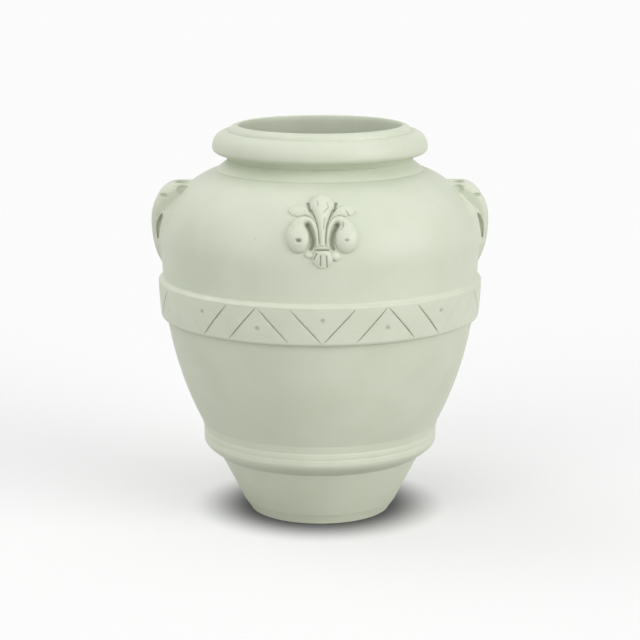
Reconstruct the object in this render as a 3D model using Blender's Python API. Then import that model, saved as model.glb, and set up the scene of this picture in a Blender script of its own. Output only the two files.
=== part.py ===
"""Jar planter with ear handles, a scored belly band and a lily relief.

The jar is put together as a potter builds a large one: four turned sections stand on a base slab
and lap into each other, a moulded ledge and a flat band cover the two lower joints, and the
handles and the relief are luted on to the shoulder. Metres, +Z up, the origin at the middle of
the standing face, and the lily faces -Y.
"""

import math

import bmesh
import bpy
from mathutils import Vector

# Clay and joints
WALL = 0.016  # thickness of the turned wall
SEAM_GAP = 0.0003  # joint between two luted pieces
LAP = 0.012  # height of each lapped joint
RING_STEPS = 48  # flats round each turned piece
WALL_FINISH = ((0.60, 0.65, 0.51), 0.55)  # colour and roughness
RELIEF_FINISH = ((0.62, 0.67, 0.53), 0.60)

# Base slab with a low heel, and the cone of the foot that stands on it
BASE_RADIUS = 0.108
BASE_EDGE = 0.004
HEEL_HEIGHT = 0.0165
HEEL_SPREAD = 0.0112
FLOOR_STEP = 0.008  # step in the slab that centres the foot
DRAIN_RADIUS = 0.018
CONE_HEIGHT = 0.1255
CONE_SPREAD = 0.0639

# Belly and shoulder
BELLY_HEIGHT = 0.279
BELLY_SPREAD = 0.0597
BELLY_FULLNESS = 2.36
SHOULDER_RISE = 0.1114
SHOULDER_INSET = 0.0056  # the middle of the shoulder's curve lies this far inside the throat

# Neck, collar, roll and lip, all measured outwards from the throat
THROAT_RADIUS = 0.124
NECK_WALL = 0.0155
NECK_RISE = 0.0149
COLLAR_SPREAD = 0.0185
COLLAR_EDGE = 0.0008
ROLL_RISE = 0.0195  # from the neck up to the widest line of the roll
ROLL_OFFSET = 0.0033
ROLL_DEPTH = 0.0214
ROLL_UPPER = 0.024
ROLL_LOWER = 0.0125
ROLL_UNDERCUT = math.radians(-70)
ROLL_CREASE = math.radians(100)
LIP_HEIGHT = 0.0096
LIP_ROUND = 0.0026
LIP_EDGE = 0.0112
LIP_FALL = 0.0008

# Moulded ledge over the lower joint: a rounded underside, then a drum of two shallow beads
LEDGE_DROP = 0.0515  # below the waist
LEDGE_HEIGHT = 0.0512
LEDGE_TOE = 0.0008
LEDGE_OVERHANG = 0.0132
LEDGE_UNDERSIDE = 0.0225
LEDGE_TURN_IN = 0.003  # where the underside turns up into the drum
LEDGE_TURN_DOWN = 0.005
LEDGE_BEAD = 0.0096
LEDGE_BEAD_DEPTH = 0.0011
LEDGE_TOP_EDGE = 0.0008

# Flat band over the upper joint, with its scored zigzag
BAND_DROP = 0.0498  # below the widest line
BAND_HEIGHT = 0.0637
BAND_THICKNESS = 0.0064  # at its upper edge
BAND_FLARE = 0.0019  # how much thicker it is at its lower edge
BAND_EDGE = 0.009
BAND_LIP = 0.0012
ZIGZAGS = 8
SCORE_WIDTH = 0.0021
SCORE_DEPTH = 0.0018
SCORE_MARGIN = 0.0075
SCORE_APEX_GAP = 0.0017
DOT_RADIUS = 0.0034
DOT_DEPTH = 0.003
DOT_HIGH = 0.0095
DOT_LOW = -0.0065

# Ear handles, luted to the shoulder on +X and -X; heights are from the widest line
EAR_TOP = 0.0915
EAR_BOTTOM = -0.0315
EAR_REACH = 0.0145
EAR_CROWN = 0.039
EAR_CROWN_RISE = 0.0345
EAR_TOE = 0.005
EAR_ROOT = 0.030
EAR_WIDTH_TOP = 0.062
EAR_WIDTH_BOTTOM = 0.040
EAR_ROUNDING = 0.011
DISH_RISE = 0.0255
DISH_INSET = 0.0195
DISH_HALF_WIDTH = 0.0045
DISH_HALF_HEIGHT = 0.021
DISH_DEPTH = 0.012
DISH_LEAN = math.radians(7)
CROWN_DISH_INSET = 0.011  # from the wall out to the middle of the hollow on top
CROWN_DISH_HALF_LENGTH = 0.013
CROWN_DISH_HALF_WIDTH = 0.024
CROWN_DISH_DEPTH = 0.0145
CROWN_DISH_LIFT = 0.0015  # of its middle above the ear

# Lily relief: each piece is a row of (across, up, half width, height), from the lily's middle
LILY_RISE = 0.050  # above the widest line
SPRIG_EDGE = 0.0012
CENTRE_PETAL = (
    (0, 0.0635, 0.004, 0.003), (0, 0.058, 0.0125, 0.008), (0, 0.0465, 0.0173, 0.0112),
    (0, 0.033, 0.0145, 0.0112), (0, 0.018, 0.0075, 0.010), (0, -0.002, 0.0036, 0.009),
    (0, -0.0185, 0.003, 0.0075),
)
CURL = (
    (0.0066, -0.018, 0.0018, 0.006), (0.0068, -0.008, 0.0024, 0.007),
    (0.0082, 0.004, 0.003, 0.0075), (0.0128, 0.0135, 0.0036, 0.008),
    (0.0195, 0.0165, 0.0052, 0.0088), (0.0283, 0.0095, 0.012, 0.0105),
    (0.034, -0.003, 0.0175, 0.0122), (0.0345, -0.0145, 0.0165, 0.0105),
    (0.034, -0.025, 0.0105, 0.0065), (0.0335, -0.031, 0.004, 0.003),
)
LEAF = (
    (0.0128, 0.0205, 0.0016, 0.003), (0.0175, 0.0268, 0.0035, 0.005),
    (0.025, 0.0338, 0.0072, 0.0065), (0.034, 0.0358, 0.0095, 0.0065),
    (0.041, 0.0335, 0.006, 0.005), (0.0445, 0.0285, 0.0025, 0.002),
)
TIE = (
    (-0.0105, -0.0228, 0.0018, 0.004), (-0.007, -0.0228, 0.003, 0.0072),
    (0, -0.0228, 0.0032, 0.0085), (0.007, -0.0228, 0.003, 0.0072),
    (0.0105, -0.0228, 0.0018, 0.004),
)
TAIL = (
    (0, -0.027, 0.0085, 0.0045), (0, -0.0325, 0.0118, 0.005), (0, -0.0395, 0.0155, 0.0044),
    (0, -0.046, 0.012, 0.003), (0, -0.0505, 0.0045, 0.0012),
)
BUD = (
    (0.0146, -0.0325, 0.0016, 0.002), (0.0164, -0.0328, 0.0038, 0.004),
    (0.0195, -0.0333, 0.0044, 0.005), (0.0228, -0.0338, 0.0034, 0.0036),
    (0.0248, -0.0341, 0.0014, 0.0015),
)
VEIN = ((0, 0.015, 0.0107), (0, -0.001, 0.0102))
FLUTES = (
    ((-0.0068, -0.0305, 0.0056), (-0.0105, -0.0425, 0.0046)),
    ((0, -0.032, 0.0064), (0, -0.0485, 0.0036)),
    ((0.0068, -0.0305, 0.0056), (0.0105, -0.0425, 0.0046)),
)
VEIN_WIDTH = 0.0022
VEIN_DEPTH = 0.0018
EYE = (0.033, -0.012, 0.0125)
EYE_RADIUS = 0.0045
EYE_DEPTH = 0.007

# Fineness of the curves
CUTTER_PROUD = 0.0012  # how far a shallow cutter stands out of the face that it cuts
RELIEF_PROUD = 0.002
SCORE_STEPS = 2
PIT_SIDES = 8
SPRIG_STEPS = 2
SPRIG_FACETS = 6

# Heights and radii that follow from the sizes above
WAIST_Z = HEEL_HEIGHT + CONE_HEIGHT
WIDEST_Z = WAIST_Z + BELLY_HEIGHT
COLLAR_Z = WIDEST_Z + SHOULDER_RISE
NECK_Z = COLLAR_Z + NECK_RISE
HEEL_RADIUS = BASE_RADIUS + HEEL_SPREAD
WAIST_RADIUS = HEEL_RADIUS + CONE_SPREAD
WIDEST_RADIUS = WAIST_RADIUS + BELLY_SPREAD
FLOOR_Z = HEEL_HEIGHT + FLOOR_STEP
NECK_RADIUS = THROAT_RADIUS + NECK_WALL
NECK_MID_RADIUS = THROAT_RADIUS + NECK_WALL / 2
COLLAR_RADIUS = NECK_RADIUS + COLLAR_SPREAD
ROLL_CENTRE_RADIUS = NECK_RADIUS + ROLL_OFFSET
ROLL_CENTRE_Z = NECK_Z + ROLL_RISE
LIP_CREST_RADIUS = THROAT_RADIUS + LIP_ROUND
SHOULDER_CORE_RADIUS = THROAT_RADIUS - SHOULDER_INSET
SHOULDER_DEPTH = WIDEST_RADIUS - SHOULDER_CORE_RADIUS
SHOULDER_CLIMB = math.acos((COLLAR_RADIUS - SHOULDER_CORE_RADIUS) / SHOULDER_DEPTH)
SHOULDER_HALF_HEIGHT = SHOULDER_RISE / math.sin(SHOULDER_CLIMB)
THROAT_CLIMB = math.acos(SHOULDER_INSET / (SHOULDER_DEPTH - WALL))
LEDGE_BOTTOM_Z = WAIST_Z - LEDGE_DROP
LEDGE_TOP_Z = LEDGE_BOTTOM_Z + LEDGE_HEIGHT
BAND_TOP_Z = WIDEST_Z - BAND_DROP
BAND_BOTTOM_Z = BAND_TOP_Z - BAND_HEIGHT
BAND_MIDDLE_Z = (BAND_TOP_Z + BAND_BOTTOM_Z) / 2
LOWER_JOINT_Z = LEDGE_BOTTOM_Z + (LEDGE_HEIGHT - LAP) / 2
UPPER_JOINT_Z = BAND_BOTTOM_Z + (BAND_HEIGHT - LAP) / 2
EAR_TOP_Z = WIDEST_Z + EAR_TOP
EAR_BOTTOM_Z = WIDEST_Z + EAR_BOTTOM


def clear_scene():
    """Removes every object that the file opened with."""
    for old in list(bpy.data.objects):
        bpy.data.objects.remove(old, do_unlink=True)


def clay_material(name, finish):
    """A Principled material for one piece of fired and coated clay."""
    colour, roughness = finish
    material = bpy.data.materials.new(name)
    material.use_nodes = True
    shader = material.node_tree.nodes["Principled BSDF"]
    shader.inputs["Base Color"].default_value = (*colour, 1.0)
    shader.inputs["Roughness"].default_value = roughness
    shader.inputs["Metallic"].default_value = 0.0
    return material


def add_object(name, builder, finish=None):
    """Turns a bmesh into a named object; one without a finish is a hidden cutter."""
    bmesh.ops.recalc_face_normals(builder, faces=builder.faces)
    mesh = bpy.data.meshes.new(name)
    builder.to_mesh(mesh)
    builder.free()
    mesh.shade_smooth()
    mesh.set_sharp_from_angle(angle=math.radians(35))
    made = bpy.data.objects.new(name, mesh)
    bpy.context.scene.collection.objects.link(made)
    if finish is None:
        made.hide_render = True
        made.display_type = "WIRE"
    else:
        mesh.materials.append(clay_material(name + "_clay", finish))
    return made


def cut(target, cutter):
    """Takes a hidden cutter out of a piece."""
    boolean = target.modifiers.new("cut_" + cutter.name, "BOOLEAN")
    boolean.operation = "DIFFERENCE"
    boolean.object = cutter


def ellipse_arc(centre, half_width, half_height, start, end, steps):
    """Points on an ellipse between two angles, both ends included."""
    angles = [start + (end - start) * i / steps for i in range(steps + 1)]
    return [
        (centre[0] + half_width * math.cos(a), centre[1] + half_height * math.sin(a))
        for a in angles
    ]


def quadratic(start, control, end, steps):
    """Points on a quadratic curve, both ends included."""
    points = []
    for i in range(steps + 1):
        t = i / steps
        weights = ((1 - t) ** 2, 2 * t * (1 - t), t * t)
        points.append(
            tuple(sum(w * p[k] for w, p in zip(weights, (start, control, end))) for k in (0, 1))
        )
    return points


def bridge(builder, loops):
    """Skins a row of closed loops into one closed tube."""
    rings = [
        [builder.edges.new((a, b)) for a, b in zip(loop, loop[1:] + loop[:1])] for loop in loops
    ]
    for one, other in zip(rings, rings[1:]):
        bmesh.ops.bridge_loops(builder, edges=one + other)
    for end in (loops[0], loops[-1]):
        builder.faces.new(end)


def turned_ring(name, outline, finish=None):
    """A ring turned from a closed cross-section of (radius, height) points."""
    turned = bmesh.new()
    points = [turned.verts.new((r, 0, z)) for r, z in outline]
    section = [turned.edges.new((a, b)) for a, b in zip(points, points[1:] + points[:1])]
    bmesh.ops.spin(
        turned, geom=points + section, cent=(0, 0, 0), axis=(0, 0, 1),
        angle=2 * math.pi, steps=RING_STEPS, use_merge=True,
    )
    return add_object(name, turned, finish)


# The wall of the jar

def outer_radius(z):
    """Outside of the plain wall at a height between the heel and the collar."""
    if z <= WAIST_Z:
        return HEEL_RADIUS + CONE_SPREAD * (z - HEEL_HEIGHT) / CONE_HEIGHT
    if z <= WIDEST_Z:
        return WIDEST_RADIUS - BELLY_SPREAD * ((WIDEST_Z - z) / BELLY_HEIGHT) ** BELLY_FULLNESS
    climb = (z - WIDEST_Z) / SHOULDER_HALF_HEIGHT
    return SHOULDER_CORE_RADIUS + SHOULDER_DEPTH * math.sqrt(1 - climb * climb)


def wall_slope(z):
    """Outward run of the wall for each unit of height, below the widest line."""
    if z <= WAIST_Z:
        return CONE_SPREAD / CONE_HEIGHT
    share = (WIDEST_Z - z) / BELLY_HEIGHT
    return BELLY_SPREAD * BELLY_FULLNESS / BELLY_HEIGHT * share ** (BELLY_FULLNESS - 1)


def inner_radius(z):
    """Inside of the wall, one thickness in from the outside, up to the widest line."""
    return outer_radius(z) - WALL * math.hypot(1, wall_slope(z))


def lap_radius(z):
    """Face in the middle of the wall where two sections lap."""
    return (outer_radius(z) + inner_radius(z)) / 2


def wall_line(radius, z_start, z_end, steps, extra=0.0):
    """Points along one face of the wall between two heights, both ends included."""
    heights = [z_start + (z_end - z_start) * i / steps for i in range(steps + 1)]
    return [(radius(z) + extra, z) for z in heights]


def shoulder_line(depth, start, end, steps, extra=0.0):
    """Points along the shoulder's curve between two climbs, at a depth into the wall."""
    return ellipse_arc(
        (SHOULDER_CORE_RADIUS + extra, WIDEST_Z), SHOULDER_DEPTH - depth,
        SHOULDER_HALF_HEIGHT - depth, start, end, steps,
    )


def shoulder_face(extra=0.0):
    """Outside of the shoulder from the top of the band to the collar."""
    return [
        *wall_line(outer_radius, BAND_TOP_Z, WIDEST_Z, 2, extra)[:-1],
        *shoulder_line(0, 0, SHOULDER_CLIMB, 8, extra),
    ]


def socket_rim(z):
    """Top of a lower section: its outer half stands up round the next section's tongue."""
    return [
        (outer_radius(z + LAP), z + LAP),
        (lap_radius(z + LAP) + SEAM_GAP, z + LAP),
        (lap_radius(z) + SEAM_GAP, z),
        (inner_radius(z), z),
    ]


def tongue_foot(z):
    """Bottom of an upper section: its inner half goes down into the socket."""
    low = z + SEAM_GAP
    high = z + LAP + SEAM_GAP
    return [
        (inner_radius(low), low),
        (lap_radius(low), low),
        (lap_radius(high), high),
        (outer_radius(high), high),
    ]


# Turned sections

def slab_outline():
    """Base slab: its rounded edge, the heel, the step that centres the foot and the drain hole."""
    base_edge = ellipse_arc(
        (BASE_RADIUS - BASE_EDGE, BASE_EDGE), BASE_EDGE, BASE_EDGE, -math.pi / 2, 0, 2
    )
    step_radius = inner_radius(HEEL_HEIGHT) - SEAM_GAP
    return [
        (DRAIN_RADIUS, 0),
        *base_edge,
        (HEEL_RADIUS, HEEL_HEIGHT),
        (step_radius, HEEL_HEIGHT),
        (step_radius, FLOOR_Z),
        (DRAIN_RADIUS, FLOOR_Z),
    ]


def foot_outline():
    """Cone from the slab up to the ledge."""
    seat = HEEL_HEIGHT + SEAM_GAP
    return [
        (outer_radius(seat), seat),
        *socket_rim(LOWER_JOINT_Z),
        (inner_radius(seat), seat),
    ]


def belly_outline():
    """Swelling wall from the ledge to the middle of the band."""
    return [
        *tongue_foot(LOWER_JOINT_Z),
        *wall_line(outer_radius, WAIST_Z, UPPER_JOINT_Z, 5),
        *socket_rim(UPPER_JOINT_Z),
        *wall_line(inner_radius, UPPER_JOINT_Z, WAIST_Z, 3)[1:],
    ]


def shoulder_outline():
    """Wall from the band to the collar, closing in to a spigot for the rim."""
    return [
        *tongue_foot(UPPER_JOINT_Z),
        *shoulder_face(),
        (NECK_MID_RADIUS, COLLAR_Z),
        (NECK_MID_RADIUS, COLLAR_Z + LAP),
        (THROAT_RADIUS, COLLAR_Z + LAP),
        *shoulder_line(WALL, THROAT_CLIMB, 0, 4),
        (inner_radius(BAND_TOP_Z), BAND_TOP_Z),
    ]


def rim_outline():
    """Collar, neck, roll, lip and throat."""
    seat = COLLAR_Z + SEAM_GAP
    collar = ellipse_arc(
        (COLLAR_RADIUS, NECK_Z), COLLAR_RADIUS - NECK_RADIUS, NECK_RISE - COLLAR_EDGE,
        -math.pi / 2, -math.pi, 3,
    )
    roll_centre = (ROLL_CENTRE_RADIUS, ROLL_CENTRE_Z)
    roll_foot = ellipse_arc(roll_centre, ROLL_DEPTH, ROLL_LOWER, ROLL_UNDERCUT, 0, 3)
    roll = ellipse_arc(roll_centre, ROLL_DEPTH, ROLL_UPPER, 0, ROLL_CREASE, 5)
    crease_radius, crease_z = roll[-1]
    lip_outside = ellipse_arc(
        (crease_radius - LIP_EDGE, crease_z), LIP_EDGE, LIP_HEIGHT - LIP_FALL, 0, math.pi / 2, 2
    )
    lip_inside = ellipse_arc(
        (LIP_CREST_RADIUS, crease_z), LIP_CREST_RADIUS - THROAT_RADIUS, LIP_HEIGHT,
        math.pi / 2, math.pi, 3,
    )
    return [
        (COLLAR_RADIUS, seat),
        *collar,
        *roll_foot[:-1],
        *roll,
        *lip_outside[1:],
        *lip_inside,
        (THROAT_RADIUS, seat + LAP),
        (NECK_MID_RADIUS + SEAM_GAP, seat + LAP),
        (NECK_MID_RADIUS + SEAM_GAP, seat),
    ]


# Moulded ledge and scored band

def ledge_outline():
    """Rounded underside, a drum of two beads and a sharp top edge."""
    drum_z = LEDGE_BOTTOM_Z + LEDGE_UNDERSIDE
    drum_radius = outer_radius(drum_z) + LEDGE_OVERHANG
    toe = (outer_radius(LEDGE_BOTTOM_Z) + LEDGE_TOE, LEDGE_BOTTOM_Z)
    turn = (drum_radius - LEDGE_TURN_IN, drum_z - LEDGE_TURN_DOWN)
    underside = quadratic(toe, turn, (drum_radius, drum_z), 4)
    beads = []
    for bead in range(2):
        foot_z = drum_z + bead * LEDGE_BEAD
        beads.append((drum_radius + LEDGE_BEAD_DEPTH, foot_z + LEDGE_BEAD / 2))
        beads.append((drum_radius, foot_z + LEDGE_BEAD))
    return [
        *underside,
        *beads,
        (outer_radius(LEDGE_TOP_Z) + LEDGE_TOP_EDGE, LEDGE_TOP_Z),
        *wall_line(outer_radius, LEDGE_TOP_Z, LEDGE_BOTTOM_Z, 1, SEAM_GAP),
    ]


def band_face_radius(z):
    """Outside of the band between its rounded edges."""
    return outer_radius(z) + BAND_THICKNESS + BAND_FLARE * (BAND_TOP_Z - z) / BAND_HEIGHT


def band_outline():
    """A flat face between two rounded edges."""
    rounding = BAND_THICKNESS - BAND_LIP
    low = BAND_BOTTOM_Z + BAND_EDGE
    high = BAND_TOP_Z - BAND_EDGE
    return [
        *ellipse_arc((band_face_radius(low) - rounding, low), rounding, BAND_EDGE,
                     -math.pi / 2, 0, 3),
        *ellipse_arc((band_face_radius(high) - rounding, high), rounding, BAND_EDGE,
                     0, math.pi / 2, 3),
        *wall_line(outer_radius, BAND_TOP_Z, BAND_BOTTOM_Z, 2, SEAM_GAP),
    ]


def on_band(across, up, lift):
    """Point on the band's face by its distance across and up from the front, lifted off it."""
    turn = across / band_face_radius(BAND_MIDDLE_Z)
    radius = band_face_radius(BAND_MIDDLE_Z + up) + lift
    return Vector((radius * math.sin(turn), -radius * math.cos(turn), BAND_MIDDLE_Z + up))


def score(cutters, place, ends, width, depth, proud):
    """Adds a V-shaped score that runs over a surface between two (across, up, lift) ends."""
    start, end = (Vector(point) for point in ends)
    run = (end - start).to_2d().normalized()
    half = width / 2 * (depth + proud) / depth
    loops = []
    for i in range(SCORE_STEPS + 1):
        across, up, lift = start.lerp(end, i / SCORE_STEPS)
        corners = (
            place(across - half * run.y, up + half * run.x, lift + proud),
            place(across + half * run.y, up - half * run.x, lift + proud),
            place(across, up, lift - depth),
        )
        loops.append([cutters.verts.new(point) for point in corners])
    bridge(cutters, loops)


def pit(cutters, place, centre, radius, depth):
    """Adds a pointed pit pressed into a surface at one (across, up, lift) place."""
    across, up, lift = centre
    wide = radius * (depth + CUTTER_PROUD) / depth
    turns = [2 * math.pi * i / PIT_SIDES for i in range(PIT_SIDES)]
    rim = [
        cutters.verts.new(
            place(across + wide * math.cos(t), up + wide * math.sin(t), lift + CUTTER_PROUD)
        )
        for t in turns
    ]
    tip = cutters.verts.new(place(across, up, lift - depth))
    cutters.faces.new(rim)
    for a, b in zip(rim, rim[1:] + rim[:1]):
        cutters.faces.new((a, b, tip))


def belly_band():
    """Band with a zigzag of paired scores and a dot in every point of it."""
    band = turned_ring("belly_band", band_outline(), RELIEF_FINISH)
    cutters = bmesh.new()
    reach = BAND_HEIGHT / 2 - SCORE_MARGIN
    quarter = math.pi * band_face_radius(BAND_MIDDLE_Z) / (2 * ZIGZAGS)
    for repeat in range(ZIGZAGS):
        valley = 4 * quarter * repeat
        for step, rise in enumerate((1, 1, -1, -1)):
            left = valley + step * quarter + SCORE_APEX_GAP
            right = valley + (step + 1) * quarter - SCORE_APEX_GAP
            ends = (left, -rise * reach, 0), (right, rise * reach, 0)
            score(cutters, on_band, ends, SCORE_WIDTH, SCORE_DEPTH, CUTTER_PROUD)
        pit(cutters, on_band, (valley, DOT_HIGH, 0), DOT_RADIUS, DOT_DEPTH)
        pit(cutters, on_band, (valley + 2 * quarter, DOT_LOW, 0), DOT_RADIUS, DOT_DEPTH)
    cut(band, add_object("band_scores", cutters))


# Ear handles

def ear_outline():
    """Side view of an ear as (radius, height) points, from its root over the top to its toe."""
    reach = WIDEST_RADIUS + EAR_REACH
    crown_z = WIDEST_Z + EAR_CROWN_RISE
    toe = (outer_radius(EAR_BOTTOM_Z) + EAR_TOE, EAR_BOTTOM_Z + 2 * EAR_TOE)
    return [
        (outer_radius(EAR_TOP_Z) - EAR_ROOT, EAR_TOP_Z),
        *ellipse_arc((reach - EAR_CROWN, crown_z), EAR_CROWN, EAR_TOP_Z - crown_z,
                     math.pi / 2, 0, 7),
        *quadratic((reach, crown_z), (reach, (crown_z + EAR_BOTTOM_Z) / 2), toe, 5)[1:],
        (outer_radius(EAR_BOTTOM_Z), EAR_BOTTOM_Z),
        (outer_radius(EAR_BOTTOM_Z) - EAR_ROOT, EAR_BOTTOM_Z),
    ]


def ear_half_width(z):
    """Half the width of an ear, which narrows towards its toe."""
    share = (z - EAR_BOTTOM_Z) / (EAR_TOP_Z - EAR_BOTTOM_Z)
    return (EAR_WIDTH_BOTTOM + (EAR_WIDTH_TOP - EAR_WIDTH_BOTTOM) * share) / 2


def ear_blank(name, side):
    """Solid ear: its side view drawn out to its width, with a rounded rim."""
    blank = bmesh.new()
    cheek = blank.faces.new([blank.verts.new((side * r, -1, z)) for r, z in ear_outline()])
    drawn = bmesh.ops.extrude_face_region(blank, geom=[cheek])["geom"]
    far_side = [v for v in drawn if isinstance(v, bmesh.types.BMVert)]
    bmesh.ops.translate(blank, verts=far_side, vec=(0, 2, 0))
    for vertex in blank.verts:
        vertex.co.y *= ear_half_width(vertex.co.z)
    rim = [edge for edge in blank.edges if edge.verts[0].co.y * edge.verts[1].co.y > 0]
    bmesh.ops.bevel(
        blank, geom=rim, offset=EAR_ROUNDING, segments=3, profile=0.5, affect="EDGES"
    )
    return add_object(name, blank, RELIEF_FINISH)


def hollow_cutter(name, middle, half_sizes, lean=0.0):
    """Egg-shaped hollow pressed into an ear, leaning by an angle along X."""
    hollow = bmesh.new()
    bmesh.ops.create_uvsphere(hollow, u_segments=10, v_segments=8, radius=1)
    bmesh.ops.scale(hollow, verts=hollow.verts, vec=half_sizes)
    for vertex in hollow.verts:
        vertex.co.x -= vertex.co.z * math.tan(lean)
    bmesh.ops.translate(hollow, verts=hollow.verts, vec=middle)
    return add_object(name, hollow)


def ear_handle(name, side, seat):
    """One ear, cut to sit on the shoulder and hollowed on its crown and both cheeks."""
    ear = ear_blank(name, side)
    cut(ear, seat)

    crown_radius = outer_radius(EAR_TOP_Z) + CROWN_DISH_INSET
    crown = (side * crown_radius, 0, EAR_TOP_Z + CROWN_DISH_LIFT)
    crown_sizes = (CROWN_DISH_HALF_LENGTH, CROWN_DISH_HALF_WIDTH, CROWN_DISH_DEPTH)
    cut(ear, hollow_cutter(f"{name}_crown_dish", crown, crown_sizes))

    dish_z = WIDEST_Z + DISH_RISE
    dish_radius = WIDEST_RADIUS + EAR_REACH - DISH_INSET
    dish_sizes = (DISH_HALF_WIDTH, DISH_DEPTH, DISH_HALF_HEIGHT)
    for word, face in (("front", -1), ("back", 1)):
        cheek = (side * dish_radius, face * ear_half_width(dish_z), dish_z)
        cut(ear, hollow_cutter(f"{name}_{word}_dish", cheek, dish_sizes, side * DISH_LEAN))


def shoulder_seat():
    """Hidden ring, one seam wider than the wall, that cuts each ear to the shoulder."""
    core = THROAT_RADIUS / 2
    outline = [(core, BAND_TOP_Z), *shoulder_face(SEAM_GAP), (core, COLLAR_Z)]
    return turned_ring("shoulder_seat", outline)


# Lily relief

def on_shoulder(across, up, lift):
    """Point on the shoulder by its distance across and up from the lily's middle, lifted off it."""
    mean_radius = (SHOULDER_DEPTH + SHOULDER_HALF_HEIGHT) / 2
    climb = math.asin(LILY_RISE / SHOULDER_HALF_HEIGHT) + up / mean_radius
    outward = Vector((math.cos(climb) / SHOULDER_DEPTH, math.sin(climb) / SHOULDER_HALF_HEIGHT))
    outward.normalize()
    wall = SHOULDER_CORE_RADIUS + SHOULDER_DEPTH * math.cos(climb)
    radius = wall + lift * outward.x
    return Vector((
        radius * math.sin(across / wall),
        -radius * math.cos(across / wall),
        WIDEST_Z + SHOULDER_HALF_HEIGHT * math.sin(climb) + lift * outward.y,
    ))


def smooth_stations(stations):
    """Catmull-Rom points through a short row of stations."""
    rows = [Vector(station) for station in stations]
    padded = [2 * rows[0] - rows[1], *rows, 2 * rows[-1] - rows[-2]]
    path = []
    for a, b, c, d in zip(padded, padded[1:], padded[2:], padded[3:]):
        for i in range(SPRIG_STEPS):
            t = i / SPRIG_STEPS
            path.append((2 * b + (c - a) * t + (2 * a - 5 * b + 4 * c - d) * t ** 2
                         + (3 * b - a - 3 * c + d) * t ** 3) / 2)
    return path + [rows[-1]]


def sprig(name, stations, side=1):
    """Domed strip of clay that follows a row of stations over the shoulder."""
    path = smooth_stations(stations)
    turns = [math.pi * k / SPRIG_FACETS for k in range(SPRIG_FACETS + 1)]
    relief = bmesh.new()
    loops = []
    for i, (across, up, half_width, height) in enumerate(path):
        along = (path[min(i + 1, len(path) - 1)] - path[max(i - 1, 0)]).to_2d().normalized()

        def edge_point(turn, lift):
            offset = half_width * math.cos(turn)
            return on_shoulder(side * (across - along.y * offset), up + along.x * offset, lift)

        top = [edge_point(t, SEAM_GAP + SPRIG_EDGE + height * math.sin(t)) for t in turns]
        back = [edge_point(t, SEAM_GAP) for t in reversed(turns[::2])]
        loops.append([relief.verts.new(point) for point in top + back])
    bridge(relief, loops)
    return add_object(name, relief, RELIEF_FINISH)


def mirrored(point, side):
    """The same (across, up, lift) place on the left or right of the lily."""
    return (side * point[0], *point[1:])


def lily_relief():
    """Centre petal, curls, leaves, tie, tail and buds, each luted on by itself."""
    petal = sprig("lily_centre_petal", CENTRE_PETAL)
    vein = bmesh.new()
    score(vein, on_shoulder, VEIN, VEIN_WIDTH, VEIN_DEPTH, RELIEF_PROUD)
    cut(petal, add_object("lily_vein", vein))

    sprig("lily_tie", TIE)

    tail = sprig("lily_tail", TAIL)
    flutes = bmesh.new()
    for ends in FLUTES:
        score(flutes, on_shoulder, ends, VEIN_WIDTH, VEIN_DEPTH, RELIEF_PROUD)
    cut(tail, add_object("lily_flutes", flutes))

    for word, side in (("left", -1), ("right", 1)):
        curl = sprig(f"lily_{word}_curl", CURL, side)
        eye = bmesh.new()
        pit(eye, on_shoulder, mirrored(EYE, side), EYE_RADIUS, EYE_DEPTH)
        cut(curl, add_object(f"lily_{word}_eye", eye))
        sprig(f"lily_{word}_leaf", LEAF, side)
        sprig(f"lily_{word}_bud", BUD, side)


def build():
    """Makes every piece of the jar."""
    clear_scene()
    turned_ring("base_slab", slab_outline(), WALL_FINISH)
    turned_ring("foot_section", foot_outline(), WALL_FINISH)
    turned_ring("belly_section", belly_outline(), WALL_FINISH)
    turned_ring("shoulder_section", shoulder_outline(), WALL_FINISH)
    turned_ring("rim_section", rim_outline(), WALL_FINISH)
    turned_ring("foot_ledge", ledge_outline(), WALL_FINISH)
    belly_band()
    seat = shoulder_seat()
    ear_handle("left_handle", -1, seat)
    ear_handle("right_handle", 1, seat)
    lily_relief()


build()
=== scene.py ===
"""Looks of a hand-built clay jar planter, dressed around its frame.

The jar stands on its slab at the origin, in metres, with +Z up and the lily on -Y. Each piece of
the frame gets a finer piece of clay in its place, and a satin sage coat goes over all of them.
"""

from __future__ import annotations

import logging
import math
from dataclasses import dataclass
from enum import Enum
from typing import Callable, Iterable, Sequence

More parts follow.
